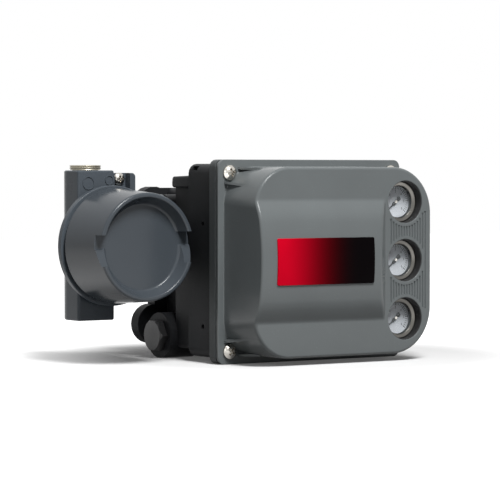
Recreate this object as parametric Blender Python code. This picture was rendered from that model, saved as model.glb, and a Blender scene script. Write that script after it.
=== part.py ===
"""Digital valve positioner: cast housing, bulged front cover, three gauges and a side terminal box.

Run with: blender --background --python part.py
All sizes below are millimetres. X runs to the right seen from the front, the front faces -Y,
Z is up, and the origin is on the rear mounting face.
"""
import math

import bpy
import bmesh
from mathutils import Matrix

MM = 0.001

# Clearances
SEAT = 0.3            # between two faces that rest on each other
FIT = 0.3             # around a shank, plug or rim in its hole
TURN = 0.3            # around the cap's threaded spigot
OVERCUT = 1.0         # how far a joined or cutting solid runs past the face it meets

# Main outline and the stack of depths, from the rear face forwards
BODY_WIDTH = 164.0
BODY_HEIGHT = 148.0
FLANGE_RADIUS = 5.5
PLATE_DEPTH = 10.0
REAR_DEPTH = 39.0
MID_DEPTH = 27.0
FRONT_DEPTH = 32.0
BASE_DEPTH = 8.0
SEAL_DEPTH = 2.0
COVER_FLANGE = 2.0
DOME_DEPTH = 40.0
BULGE_DEPTH = 9.3

Y_PLATE = -PLATE_DEPTH
Y_REAR = Y_PLATE - REAR_DEPTH
Y_MID = Y_REAR - MID_DEPTH
Y_FRONT = Y_MID - FRONT_DEPTH
Y_BASE = Y_FRONT - BASE_DEPTH
Y_SEAL = Y_BASE - SEAL_DEPTH
Y_FLANGE = Y_SEAL - COVER_FLANGE
Y_PANEL = Y_FLANGE - DOME_DEPTH
Y_BULGE = Y_PANEL - BULGE_DEPTH
HALF_WIDTH = BODY_WIDTH / 2
HALF_HEIGHT = BODY_HEIGHT / 2
REST_LEVEL = -HALF_HEIGHT

# Fasteners
COVER_SCREW_HEAD = 4.8
COVER_SCREW_RISE = 3.2
COVER_SCREW_SHANK = 2.6
COVER_SCREW_LENGTH = 8.5
BASE_SCREW_HEAD = 5.0
BASE_SCREW_RISE = 5.0
BASE_SCREW_SHANK = 3.0
BASE_SCREW_LENGTH = 22.0
BASE_SCREW_SINK = 4.5
SMALL_HEAD = 3.0
SMALL_RISE = 2.4
SMALL_SHANK = 1.5
SMALL_LENGTH = 6.5
EARTH_HEAD = 3.9
EARTH_RISE = 3.0
HOLE_SPARE = 2.0      # how much deeper a screw's hole is than its shank

# Housing casting
HOUSING_INSET = 3.0
HOUSING_RADIUS = 7.0
HOUSING_LIFT = 0.6
HOUSING_SIDE = HALF_WIDTH - HOUSING_INSET
HOUSING_TOP = HALF_HEIGHT - HOUSING_INSET
HOUSING_BOTTOM = -HOUSING_TOP + HOUSING_LIFT
MID_RECESS = 6.0
MID_RADIUS = 5.0
MID_DROP = 8.6
MID_LIFT = 4.4
MID_SIDE = HOUSING_SIDE - MID_RECESS
MID_TOP = HOUSING_TOP - MID_DROP
MID_BOTTOM = HOUSING_BOTTOM + MID_LIFT
LEDGE_HEIGHT = 8.9
LEDGE_SLOPE = 4.0
LEDGE_RADIUS = 2.0
LEDGE_TAPER = 0.7
LEDGE_CHAMFER = 3.0
REAR_RECESS = 17.0
REAR_DROP = 8.4
REAR_LIFT = 6.0
REAR_DRAFT = 1.0
REAR_RADIUS = 6.0
REAR_SIDE = MID_SIDE - REAR_RECESS
REAR_TOP = MID_TOP - REAR_DROP
REAR_BOTTOM = MID_BOTTOM + REAR_LIFT
BOSS_ROOT = 5.0       # how deep a side boss is rooted in the rear block
EAR_RADIUS = 15.0
EAR_RISE = 10.0
EAR_HOLE = 4.5
EAR_SIDE = HALF_WIDTH - EAR_RADIUS
EAR_LOW = REAR_BOTTOM + EAR_RISE
EAR_HIGH = REAR_TOP - EAR_RADIUS
PLATE_RADIUS = 4.0
WALL_SIDE = 15.0
WALL_TOP = 21.0
CAVITY_SIDE = HOUSING_SIDE - WALL_SIDE
CAVITY_HALF = HOUSING_TOP - WALL_TOP
CAVITY_RADIUS = 10.0
CAVITY_WALL = 9.0
CAVITY_FLOOR = Y_REAR - CAVITY_WALL
CHANNEL_X = 28.0
CHANNEL_WIDTH = 18.0
CHANNEL_DEPTH = 16.0
PORT_SETBACK = 12.0
PORT_Y = Y_REAR + PORT_SETBACK
PORT_PITCH = 36.0
PORT_HOLE = 6.6
PORT_BOSS = 12.5
PORT_DEPTH = 14.0
VENT_SETBACK = 14.0
VENT_BOSS = 17.0
VENT_Y = Y_REAR + VENT_SETBACK
VENT_Z = REST_LEVEL + VENT_BOSS
VENT_HOLE = 7.0
VENT_HEX = 22.0
VENT_HEAD = 6.0
VENT_CHAMFER = 1.6
VENT_SHANK = 9.0
SIDE_HOLE = 1.9
SIDE_HOLE_DEPTH = 7.0
SIDE_HOLE_SETBACK = 13.0
SIDE_HOLE_DROP = 43.6
SIDE_HOLE_LIFT = 22.7
SLOT_BACK = 3.0
SLOT_WIDTH = 8.0
SLOT_HEIGHT = 3.0
SLOT_LID = 1.6
SLOT_DEPTH = 5.0

# Cover
COVER_LEFT = 5.0
COVER_RIGHT = 1.0
COVER_TOP = 5.4
COVER_WALL = 3.2
BASE_CORNER_LEFT = 27.0
BASE_CORNER_RIGHT = 33.8
PANEL_CORNER_LEFT = 30.0
PANEL_CORNER_RIGHT = 34.0
INNER_CORNER_LEFT = 24.0
INNER_CORNER_RIGHT = 30.8
EDGE_RADIUS = 3.0
BULGE_CENTRE = 1.1
BULGE_MARGIN = 30.4
BULGE_SLOPE = 13.0
BULGE_RIGHT = 43.5
BULGE_RUN = 10.0
BULGE_CORNER = 8.0
BULGE_EDGE = 2.0
BULGE_EASE = 1.4
BULGE_ROOT = 8.0
BULGE_HALF = HALF_HEIGHT - BULGE_MARGIN
BULGE_END = HALF_WIDTH - BULGE_RIGHT
BULGE_FLAT_END = BULGE_END - BULGE_RUN
COVER_SCREW_SIDE = 9.4
COVER_SCREW_TOP = 9.5
COVER_SCREW_X = HALF_WIDTH - COVER_SCREW_SIDE
COVER_SCREW_Z = HALF_HEIGHT - COVER_SCREW_TOP
RIB = 1.6
RIB_TOE = 0.5
RIB_ROOT = 8.0
RIB_SHIFT = 1.0
UPPER_RIB_START = 12.0
UPPER_RIB_DROP = 0.9
UPPER_RIB_LEAN = 0.1
UPPER_RIB_RUN = 7.0
UPPER_RIB_RISE = 18.0
LOWER_RIB_START = 0.1
LOWER_RIB_DROP = 11.1
LOWER_RIB_LEAN = 0.48
LOWER_RIB_RUN = 5.8
LOWER_RIB_RISE = 25.0
LABEL_EDGE = 17.8
LABEL_MARGIN = 7.2
LABEL_LEFT = -HALF_WIDTH + LABEL_EDGE
LABEL_RIGHT = BULGE_FLAT_END - LABEL_MARGIN
LABEL_HEIGHT = 33.4
LABEL_THICK = 0.7
LABEL_RADIUS = 1.0
COVER_SEAL_INSET = 0.5
COVER_SEAL_WIDTH = 4.4
COVER_SEAL_CORNER = 2.0

# Gauges
GAUGE_EDGE = 25.1
GAUGE_MARGIN = 10.0
GAUGE_HOLE = 15.6
GAUGE_X = HALF_WIDTH - GAUGE_EDGE
GAUGE_PITCH = HALF_HEIGHT - COVER_TOP - GAUGE_MARGIN - GAUGE_HOLE
GAUGE_CASE = 15.0
GAUGE_BORE = 13.0
GAUGE_SUNK = 8.0
GAUGE_CASE_DEPTH = 24.0
CASE_LIP = 0.6
CASE_HEEL = 2.0
DIAL_SUNK = 4.2
DIAL_THICK = 0.6
LENS_THICK = 1.0
LENS_SUNK = 0.5
STEM_RADIUS = 5.0
POINTER_THICK = 0.6
POINTER_REACH = 10.4
POINTER_TAIL = 4.6
POINTER_TIP = 0.12
POINTER_WAIST = 0.75
POINTER_TAIL_HALF = 1.2
POINTER_HUB = 1.9
POINTER_HUB_RISE = 0.4
POINTER_PIN = 0.5
POINTER_ZERO = 220.0
COLLAR_DEPTH = 8.6
COLLAR_WALL = 1.6
GROOVE_PITCH = 2.44
GROOVE_WIDTH = 1.2
GROOVE_DEPTH = 0.8
GROOVE_COUNT = 14
GROOVE_REACH = 36.0
GROOVE_RING = 2.4
GROOVE_EDGE = 6.0

# Terminal box on the left; its depths are taken from the neck that carries it
NECK_SETBACK = 17.0
NECK_Y = Y_REAR + NECK_SETBACK
NECK_RADIUS = 18.0
NECK_FLANGE = 23.0
NECK_FLANGE_THICK = 6.0
NECK_SEAL = 1.4
NECK_SEAL_BORE = 12.0
NECK_SEAL_RADIUS = 20.0
NECK_SCREW_RISE = 29.0
NECK_LUG = 8.0
CAP_GAP = 48.6
CAP_DROP = 62.8
CAP_X = -HALF_WIDTH - CAP_GAP
CAP_Z = HALF_HEIGHT - CAP_DROP
SPIGOT_RADIUS = 36.2
SPIGOT_LENGTH = 11.0
SPIGOT_WALL = 4.2
CAP_SKIRT = 5.7
CAP_TAPER = 3.1
CAP_LIP = 7.5
CAP_REAR = SPIGOT_RADIUS + TURN + CAP_SKIRT
CAP_FRONT = CAP_REAR - CAP_TAPER
CAP_DISC = CAP_FRONT - CAP_LIP
CAP_DEPTH = 46.0
CAP_STANDOFF = 25.0
CAP_BACK = NECK_Y - CAP_STANDOFF
CAP_Y = CAP_BACK - CAP_DEPTH
CAP_RIM = 3.6
CAP_ROUND = 0.8
CAP_EDGE = 1.0
CAP_RECESS = 9.0
CAP_DISC_THICK = 4.0
CAP_COVE = 4.0
NOTCH_LOW = -12.4
NOTCH_HIGH = 10.0
NOTCH_STEP = 6.0
NOTCH_RAMP = 0.5
NOTCH_RAMP_RISE = 1.5
NOTCH_SKIN = 0.02
NOTCH_TILT = 1.6
SET_SCREW_SETBACK = 6.0
SET_SCREW_SINK = 1.5
SET_SCREW_LENGTH = 3.6
THREAD_RELIEF = 4.0
ORING_RADIUS = 0.9
ORING_INSET = 3.0
BOX_FLANGE_PROUD = 1.8
BOX_FLANGE_STEP = 4.0
BOX_SLOPE = 21.0
BOX_FLANGE = CAP_REAR + BOX_FLANGE_PROUD
BOX_FLANGE_DEPTH = 5.0
BOX_BARREL = BOX_FLANGE - BOX_FLANGE_STEP
BOX_BACK_RADIUS = BOX_BARREL - BOX_SLOPE
BOX_TAIL = 16.0
BOX_BACK = NECK_Y + BOX_TAIL
BOX_BORE = SPIGOT_RADIUS - SPIGOT_WALL
BOX_BACK_WALL = 14.0
BOX_FLOOR = BOX_BACK - BOX_BACK_WALL
BOX_STEP = 14.0
BOX_LEDGE = BOX_FLOOR - BOX_STEP
BOX_POCKET = BOX_BORE - 8.0
COLUMN_OFFSET = 8.4
COLUMN_SETBACK = 3.0
COLUMN_X = CAP_X - COLUMN_OFFSET
COLUMN_Y = NECK_Y + COLUMN_SETBACK
COLUMN_RADIUS = 15.5
COLUMN_FLAT = 0.5
COLUMN_FRONT = COLUMN_Y - COLUMN_RADIUS - COLUMN_FLAT
COLUMN_RISE = 55.0
COLUMN_FALL = 54.9
COLUMN_TOP = CAP_Z + COLUMN_RISE
COLUMN_BOTTOM = CAP_Z - COLUMN_FALL
CONDUIT_HOLE = 9.8
CONDUIT_TOP_DEPTH = 40.0
CONDUIT_LOW_DEPTH = 43.0
PLUG_HEAD = 11.6
PLUG_PROUD = 3.5
PLUG_SHANK = 14.0
PLUG_RIDGE = 0.5
PLUG_DISH = 3.1
PLUG_DISH_DEPTH = 2.2
EAR_BLOCK_REACH = 35.0
EAR_BLOCK_DROP = 1.9
EAR_BLOCK_SETBACK = 2.0
EAR_BLOCK_TAIL = 6.0
EAR_BLOCK_RADIUS = 3.0
EAR_BLOCK_WALL = 5.0
EAR_BLOCK_END = COLUMN_X + EAR_BLOCK_REACH
EAR_BLOCK_TOP = COLUMN_TOP - EAR_BLOCK_DROP
GROUND_GAP = 1.2
GROUND_INSET = 11.5
GROUND_DROP = 4.5
GROUND_HEIGHT = 14.3
GROUND_DEPTH = 8.5
GROUND_X = EAR_BLOCK_END - GROUND_INSET
GROUND_Z = EAR_BLOCK_TOP - GROUND_DROP
EARTH_SIDE_SHARE = 0.6
EARTH_LOW_SHARE = 0.655
INNER_EARTH_RIGHT = BOX_BORE * EARTH_SIDE_SHARE
INNER_EARTH_DROP = BOX_BORE * EARTH_LOW_SHARE
TERMINAL_LENGTH = 42.0
TERMINAL_HEIGHT = 18.0
TERMINAL_DEPTH = 13.0
TERMINAL_PITCH = 10.0
TERMINAL_COUNT = 4
TERMINAL_RADIUS = 1.5

# Works under the cover, from the gauges leftwards
BASE_PLUG_DEPTH = 7.0
BASE_PLUG_WALL = 5.0
GROOVE_SEAL = 2.0
SEAL_OFFSET = 1.2
BASE_SCREW_MARGIN = 1.9
BASE_SCREW_LEVEL = (CAVITY_HALF + SEAL_OFFSET + GROOVE_SEAL + 3 * FIT + BASE_SCREW_SHANK
                    + BASE_SCREW_MARGIN)
BASE_SCREW_LEFT = 19.0
BASE_SCREW_RIGHT = 34.0
MANIFOLD_HEIGHT = 8.0
MANIFOLD_WIDTH = 34.0
MANIFOLD_MARGIN = 9.0
MANIFOLD_RADIUS = 10.0
MANIFOLD_HALF = GAUGE_PITCH + MANIFOLD_MARGIN
MANIFOLD_LEFT = GAUGE_X - MANIFOLD_WIDTH / 2
RELAY_GAP = 8.9
RELAY_HALF = 21.0
RELAY_DEPTH = 28.0
RELAY_STEP = 12.0
RELAY_CORNER = 5.0
RELAY_TOWER = 15.5
RELAY_DROP = 5.0
RELAY_SCREW_INSET = 4.2
RELAY_X = MANIFOLD_LEFT - RELAY_GAP - RELAY_HALF
RELAY_Z = -RELAY_HALF - RELAY_DROP
DISC_RADIUS = 10.5
DISC_SINK = 2.0
DISC_THICK = 3.0
DISC_CHAMFER = 0.8
DISC_SLOT = 1.8
DISC_SLOT_DEPTH = 1.6
CONVERTER_RISE = 10.7
CONVERTER_RADIUS = 14.0
CONVERTER_NECK = 5.0
CONVERTER_FOOT = 12.0
CONVERTER_DEPTH = 22.0
SHROUD_WALL = 2.0
SHROUD_CORNER = 4.0
CONVERTER_Z = CONVERTER_RISE + CONVERTER_RADIUS + FIT + SHROUD_WALL
ELECTRONICS_GAP = 7.0
ELECTRONICS_CLEAR = 5.8
ELECTRONICS_MARGIN = 21.4
ELECTRONICS_DEPTH = 26.0
ELECTRONICS_CORNER = 4.0
ELECTRONICS_LID = 3.0
ELECTRONICS_LID_INSET = 1.0
ELECTRONICS_LEFT = -HALF_WIDTH + COVER_LEFT + COVER_WALL + ELECTRONICS_CLEAR
ELECTRONICS_RIGHT = RELAY_X - RELAY_HALF - ELECTRONICS_GAP
ELECTRONICS_HALF = HALF_HEIGHT - COVER_TOP - COVER_WALL - ELECTRONICS_MARGIN
SENSOR_HALF = 11.0
SENSOR_DEPTH = 9.0
SENSOR_BOSS = 7.7
SENSOR_BOSS_RISE = 4.0
SENSOR_CORNER = 3.0

# Facets
COARSE_STEPS = 8
ROUND_STEPS = 16
SMOOTH_STEPS = 32
CORNER_STEPS = 4
CROSS_STEPS = 12
EAR_STEPS = 22
FULL_TURN = 360
SHARP_ANGLE = 32

# Finishes: colour, roughness, metallic
FINISHES = {
    "casting": ((0.150, 0.165, 0.170), 0.55, 0.0),
    "dark_casting": ((0.045, 0.047, 0.050), 0.6, 0.0),
    "cap_casting": ((0.120, 0.130, 0.145), 0.5, 0.0),
    "rubber": ((0.012, 0.012, 0.012), 0.8, 0.0),
    "stainless": ((0.720, 0.700, 0.670), 0.28, 1.0),
    "zinc": ((0.640, 0.620, 0.560), 0.35, 1.0),
    "label": ((0.500, 0.010, 0.020), 0.4, 0.0),
    "dial": ((0.800, 0.810, 0.820), 0.5, 0.0),
    "pointer": ((0.010, 0.010, 0.010), 0.5, 0.0),
    "lens": ((0.900, 0.920, 0.930), 0.08, 0.0),
    "aluminium": ((0.560, 0.570, 0.580), 0.45, 1.0),
    "black_plastic": ((0.020, 0.020, 0.022), 0.45, 0.0),
    "grey_plastic": ((0.220, 0.230, 0.240), 0.5, 0.0),
    "ivory_plastic": ((0.620, 0.590, 0.500), 0.45, 0.0),
}


# Outlines

def arc(centre, radius, start, end, steps):
    """Points of an arc between two angles in degrees, both ends included."""
    points = []
    for step in range(steps + 1):
        angle = math.radians(start + (end - start) * step / steps)
        points.append((centre[0] + radius * math.cos(angle), centre[1] + radius * math.sin(angle)))
    return points


def circle(centre, radius, steps):
    """A closed circle of points."""
    return arc(centre, radius, 0, FULL_TURN * (steps - 1) / steps, steps - 1)


def rounded(left, right, bottom, top, radii, steps=CORNER_STEPS):
    """A rectangle with round corners: radii for lower left, lower right, upper right, upper left."""
    if not isinstance(radii, tuple):
        radii = (radii,) * 4
    low_left, low_right, up_right, up_left = radii
    return (arc((left + low_left, bottom + low_left), low_left, 180, 270, steps)
            + arc((right - low_right, bottom + low_right), low_right, 270, 360, steps)
            + arc((right - up_right, top - up_right), up_right, 0, 90, steps)
            + arc((left + up_left, top - up_left), up_left, 90, 180, steps))


def box_outline(left, right, bottom, top):
    """A plain rectangle."""
    return [(left, bottom), (right, bottom), (right, top), (left, top)]


# Solids

def to_space(axis, pair, station):
    """Put a point of an outline at a station along X, Y or Z."""
    first, second = pair
    if axis == "X":
        return (station, first, second)
    if axis == "Y":
        return (first, station, second)
    return (first, second, station)


def new_object(name, vertices, faces):
    """Make an object from millimetre points, with its faces turned outwards."""
    mesh = bpy.data.meshes.new(name)
    shape = bmesh.new()
    made = [shape.verts.new([value * MM for value in point]) for point in vertices]
    for face in faces:
        shape.faces.new([made[index] for index in face])
    bmesh.ops.recalc_face_normals(shape, faces=shape.faces)
    shape.to_mesh(mesh)
    shape.free()
    thing = bpy.data.objects.new(name, mesh)
    bpy.context.scene.collection.objects.link(thing)
    return thing


def loft(name, rings):
    """A closed skin through rings of equal length, with both ends filled."""
    count = len(rings[0])
    vertices = [point for ring in rings for point in ring]
    faces = [list(range(count)), list(range(len(vertices) - count, len(vertices)))]
    for level in range(len(rings) - 1):
        base = level * count
        for index in range(count):
            after = (index + 1) % count
            faces.append([base + index, base + after, base + count + after, base + count + index])
    return new_object(name, vertices, faces)


def prism(name, outline, axis, start, end):
    """An outline pushed along an axis between two stations."""
    return loft(name, [[to_space(axis, pair, station) for pair in outline] for station in (start, end)])


def turned(name, profile, centre, axis, steps=ROUND_STEPS, ring=False):
    """A profile of (radius, station) turned about an axis; ring joins its end to its start."""
    sections = [[to_space(axis, pair, station) for pair in circle(centre, radius, steps)]
                for radius, station in profile]
    if not ring:
        return loft(name, sections)
    vertices = [point for section in sections for point in section]
    faces = []
    for level in range(len(sections)):
        base = level * steps
        above = (level + 1) % len(sections) * steps
        for index in range(steps):
            after = (index + 1) % steps
            faces.append([base + index, base + after, above + after, above + index])
    return new_object(name, vertices, faces)


def rod(name, centre, radius, axis, start, end, steps=ROUND_STEPS):
    """A plain cylinder."""
    return prism(name, circle(centre, radius, steps), axis, start, end)


def block(name, left, right, front, back, bottom, top):
    """A plain box."""
    return prism(name, box_outline(left, right, bottom, top), "Y", front, back)


def combine(target, tools, operation):
    """Join tools to a solid or cut them from it, and keep the result as its mesh."""
    for tool in tools:
        modifier = target.modifiers.new(operation.lower(), "BOOLEAN")
        modifier.operation = operation
        modifier.solver = "EXACT"
        modifier.object = tool
        evaluated = target.evaluated_get(bpy.context.evaluated_depsgraph_get())
        mesh = bpy.data.meshes.new_from_object(evaluated)
        target.modifiers.clear()
        target.data = mesh
        bpy.data.objects.remove(tool)
    return target


def join(target, *tools):
    """Unite solids with a target."""
    return combine(target, tools, "UNION")


def cut(target, *tools):
    """Cut solids out of a target."""
    return combine(target, tools, "DIFFERENCE")


def finish(thing, kind):
    """Give a piece its own material and smooth its round faces."""
    colour, roughness, metallic = FINISHES[kind]
    material = bpy.data.materials.new(f"{thing.name}_{kind}")
    material.use_nodes = True
    shader = material.node_tree.nodes["Principled BSDF"]
    shader.inputs["Base Color"].default_value = (*colour, 1.0)
    shader.inputs["Roughness"].default_value = roughness
    shader.inputs["Metallic"].default_value = metallic
    thing.data.materials.clear()
    thing.data.materials.append(material)
    thing.data.shade_smooth()
    thing.data.set_sharp_from_angle(angle=math.radians(SHARP_ANGLE))
    return thing


def place(thing, point):
    """Move a piece's origin to a point in millimetres without moving its shape."""
    offset = Matrix.Translation([value * MM for value in point])
    thing.data.transform(offset.inverted())
    thing.matrix_world = offset
    return thing


def copy_to(source, name, point, turn=None):
    """A copy that shares its mesh, at a point in millimetres."""
    twin = bpy.data.objects.new(name, source.data)
    bpy.context.scene.collection.objects.link(twin)
    twin.matrix_world = Matrix.Translation([value * MM for value in point]) @ (turn or Matrix())
    return twin


# Fasteners, made at the origin with the head's seat at y = 0 and the shank along +Y

def cross_screw(name, head, height, shank, length):
    """A pan-head screw with a cross recess."""
    dome = [(head * 0.5, -height), (head * 0.86, -height * 0.7), (head, 0)]
    solid = turned(name, dome + [(shank, 0), (shank, length)], (0, 0), "Y", CROSS_STEPS)
    slot = head * 0.15
    reach = head * 0.6
    floor = -height * 0.4
    return cut(solid,
               block("slot_a", -reach, reach, -height - OVERCUT, floor, -slot, slot),
               block("slot_b", -slot, slot, -height - OVERCUT, floor, -reach, reach))


def socket_screw(name, head, height, shank, length):
    """A cylinder-head screw with a hexagon socket."""
    solid = turned(name, [(head, -height), (head, 0), (shank, 0), (shank, length)], (0, 0), "Y",
                   COARSE_STEPS)
    return cut(solid, prism("socket", circle((0, 0), head * 0.55, 6), "Y", -height - OVERCUT,
                            -height * 0.4))


# Housing

def housing_shell():
    """The stepped casting: front frame, middle block with its ledge, rear block and eared plate."""
    shell = prism("housing", rounded(-HOUSING_SIDE, HOUSING_SIDE, HOUSING_BOTTOM, HOUSING_TOP,
                                     HOUSING_RADIUS), "Y", Y_FRONT, Y_MID)
    middle = prism("middle", rounded(-MID_SIDE, MID_SIDE, MID_BOTTOM, MID_TOP - OVERCUT, MID_RADIUS),
                   "Y", Y_MID - OVERCUT, Y_REAR)
    ledge = loft("ledge", [
        [to_space("Y", pair, station) for pair in rounded(-HOUSING_SIDE + inset, HOUSING_SIDE - inset,
                                                          MID_TOP - LEDGE_HEIGHT, MID_TOP - inset,
                                                          LEDGE_RADIUS)]
        for station, inset in ((Y_MID - OVERCUT, 0.0), (Y_REAR - LEDGE_SLOPE, LEDGE_TAPER),
                               (Y_REAR, LEDGE_CHAMFER))])
    rear = loft("rear", [
        [to_space("Y", pair, station) for pair in rounded(-REAR_SIDE, REAR_SIDE, REAR_BOTTOM + draft,
                                                          REAR_TOP - draft, REAR_RADIUS)]
        for station, draft in ((Y_REAR - OVERCUT, 0.0), (Y_PLATE + OVERCUT, REAR_DRAFT))])
    plate = prism("plate", rounded(-EAR_SIDE, EAR_SIDE, REAR_BOTTOM, REAR_TOP - REAR_DRAFT,
                                   PLATE_RADIUS), "Y", Y_PLATE, 0)
    root = -REAR_SIDE + BOSS_ROOT
    seat = rod("neck_seat", (NECK_Y, CAP_Z), NECK_FLANGE, "X", -MID_SIDE, root)
    lug = rod("lug_seat", (NECK_Y, CAP_Z + NECK_SCREW_RISE), NECK_LUG, "X", -MID_SIDE, root)
    join(shell, middle, ledge, rear, plate, seat, lug)
    for side in (-1, 1):
        for level in (EAR_LOW, EAR_HIGH):
            join(shell, rod("ear", (side * EAR_SIDE, level), EAR_RADIUS, "Y", Y_PLATE, 0, EAR_STEPS))
        join(shell, rod("vent_boss", (VENT_Y, VENT_Z), VENT_BOSS, "X",
                        side * (REAR_SIDE - BOSS_ROOT), side * HOUSING_SIDE, EAR_STEPS))
    return shell


def levels_of(pitch):
    """Heights of three things at one pitch, top first."""
    return [pitch * step for step in (1, 0, -1)]


def base_screw_points():
    """The three screws of the module base in X and Z: one above the cavity, two below it."""
    return [(0.0, BASE_SCREW_LEVEL), (-CAVITY_SIDE + BASE_SCREW_LEFT, -BASE_SCREW_LEVEL),
            (CAVITY_SIDE - BASE_SCREW_RIGHT, -BASE_SCREW_LEVEL)]


def make_housing():
    """The housing with its cavity, ports, feedback channel and fastener holes."""
    shell = housing_shell()
    for level in levels_of(PORT_PITCH):
        join(shell, rod("port_boss", (PORT_Y, level), PORT_BOSS, "X", REAR_SIDE - BOSS_ROOT, HOUSING_SIDE))
    left_face = -HOUSING_SIDE - OVERCUT
    half_channel = CHANNEL_WIDTH / 2
    cutters = [prism("cavity", rounded(-CAVITY_SIDE, CAVITY_SIDE, -CAVITY_HALF, CAVITY_HALF,
                                       CAVITY_RADIUS, 4), "Y", Y_FRONT - OVERCUT, CAVITY_FLOOR),
               block("channel", CHANNEL_X - half_channel, CHANNEL_X + half_channel,
                     -CHANNEL_DEPTH, OVERCUT, MID_BOTTOM - OVERCUT, MID_TOP + OVERCUT)]
    for side in (-1, 1):
        for level in (EAR_LOW, EAR_HIGH):
            cutters.append(rod("ear_hole", (side * EAR_SIDE, level), EAR_HOLE, "Y",
                               Y_PLATE - OVERCUT, OVERCUT))
    for level in levels_of(PORT_PITCH):
        cutters.append(rod("port", (PORT_Y, level), PORT_HOLE, "X",
                           HOUSING_SIDE - PORT_DEPTH, HOUSING_SIDE + OVERCUT))
    cutters.append(rod("vent", (VENT_Y, VENT_Z), VENT_HOLE + FIT, "X",
                       left_face, -HOUSING_SIDE + VENT_SHANK + HOLE_SPARE))
    for level in (HOUSING_TOP - SIDE_HOLE_DROP, HOUSING_BOTTOM + SIDE_HOLE_LIFT):
        cutters.append(rod("side_hole", (Y_FRONT + SIDE_HOLE_SETBACK, level), SIDE_HOLE, "X",
                           left_face, -HOUSING_SIDE + SIDE_HOLE_DEPTH, COARSE_STEPS))
    slot_back = Y_MID - SLOT_BACK
    slot_top = HOUSING_TOP - SLOT_LID
    cutters.append(block("slot", left_face, -HOUSING_SIDE + SLOT_DEPTH, slot_back - SLOT_WIDTH, slot_back,
                         slot_top - SLOT_HEIGHT, slot_top))
    tip = Y_BASE + BASE_SCREW_SINK + BASE_SCREW_LENGTH
    for point in base_screw_points():
        cutters.append(rod("screw_hole", point, BASE_SCREW_SHANK + FIT, "Y",
                           Y_FRONT - OVERCUT, tip + HOLE_SPARE, COARSE_STEPS))
    cutters.append(rod("neck_screw_hole", (NECK_Y, CAP_Z + NECK_SCREW_RISE), BASE_SCREW_SHANK + FIT,
                       "X", -MID_SIDE - OVERCUT, -MID_SIDE + BASE_SCREW_LENGTH, COARSE_STEPS))
    cut(shell, *cutters)
    groove = base_seal_ring("seal_groove", SEAL_OFFSET, GROOVE_SEAL + 2 * FIT,
                            Y_FRONT - OVERCUT, Y_FRONT + GROOVE_SEAL)
    return finish(cut(shell, groove), "dark_casting")


def base_seal_ring(name, offset, width, front, back):
    """A flat ring round the mouth of the housing's cavity."""
    def outline(grow):
        return rounded(-CAVITY_SIDE - grow, CAVITY_SIDE + grow, -CAVITY_HALF - grow,
                       CAVITY_HALF + grow, CAVITY_RADIUS + grow)
    ring = prism(name, outline(offset + width), "Y", front, back)
    return cut(ring, prism("ring_hole", outline(offset), "Y", front - OVERCUT, back + OVERCUT))


def make_vent_plug():
    """The hexagon plug in the lower left boss: a chamfered blank cut to a hexagon on a round shank."""
    face = -HOUSING_SIDE - SEAT
    front = face - VENT_HEAD
    tip = face + VENT_SHANK
    centre = (VENT_Y, VENT_Z)
    corner = VENT_HEX / math.sqrt(3)
    blank = corner + NOTCH_SKIN
    plug = turned("vent_plug", [(blank - VENT_CHAMFER, front), (blank, front + VENT_CHAMFER),
                                (blank, face), (VENT_HOLE, face), (VENT_HOLE, tip)], centre, "X")
    hexagon = prism("hexagon", circle(centre, corner, 6), "X", front - OVERCUT, face + NOTCH_SKIN)
    shank = rod("shank", centre, VENT_HOLE + NOTCH_SKIN, "X", face, tip + OVERCUT)
    combine(plug, [join(hexagon, shank)], "INTERSECT")
    return finish(plug, "black_plastic")


# Module base and the works on it

def make_module_base():
    """The flanged plate that closes the housing and carries the works and gauges."""
    back = Y_FRONT - SEAT
    plug_end = Y_FRONT + BASE_PLUG_DEPTH
    base = prism("module_base", rounded(-HALF_WIDTH, HALF_WIDTH, -HALF_HEIGHT, HALF_HEIGHT,
                                        FLANGE_RADIUS), "Y", Y_BASE, back)

    def plug_outline(inset):
        return rounded(-CAVITY_SIDE + inset, CAVITY_SIDE - inset, -CAVITY_HALF + inset,
                       CAVITY_HALF - inset, CAVITY_RADIUS - inset)
    plug = prism("plug", plug_outline(FIT), "Y", back - OVERCUT, plug_end)
    manifold = prism("manifold", rounded(MANIFOLD_LEFT, MANIFOLD_LEFT + MANIFOLD_WIDTH, -MANIFOLD_HALF,
                                         MANIFOLD_HALF, MANIFOLD_RADIUS), "Y",
                     Y_BASE - MANIFOLD_HEIGHT, Y_BASE + OVERCUT)
    join(base, plug, manifold)
    cutters = [prism("back_pocket", plug_outline(BASE_PLUG_WALL), "Y", back - HOLE_SPARE,
                     plug_end + OVERCUT)]
    for point in base_screw_points():
        cutters.append(rod("counterbore", point, BASE_SCREW_HEAD + FIT, "Y",
                           Y_BASE - OVERCUT, Y_BASE + BASE_SCREW_SINK))
        cutters.append(rod("clear_hole", point, BASE_SCREW_SHANK + FIT, "Y",
                           Y_BASE - OVERCUT, Y_FRONT + OVERCUT, COARSE_STEPS))
    tip = Y_FLANGE + COVER_SCREW_LENGTH
    for point in cover_screw_points():
        cutters.append(rod("tapped_hole", point, COVER_SCREW_SHANK + FIT, "Y",
                           Y_BASE - OVERCUT, tip + FIT, COARSE_STEPS))
    return finish(cut(base, *cutters), "casting")


def make_base_seal():
    """The gasket between module base and housing, in its groove."""
    return finish(base_seal_ring("module_base_seal", SEAL_OFFSET + FIT, GROOVE_SEAL,
                                 Y_FRONT, Y_FRONT + GROOVE_SEAL - SEAT), "rubber")


def spread(pattern, points):
    """Put a numbered pattern piece at the first point and copies of it at the others."""
    stem = pattern.name.rsplit("_", 1)[0]
    pattern.matrix_world = Matrix.Translation([value * MM for value in points[0]])
    for number, point in enumerate(points[1:], start=2):
        copy_to(pattern, f"{stem}_{number}", point)


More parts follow.
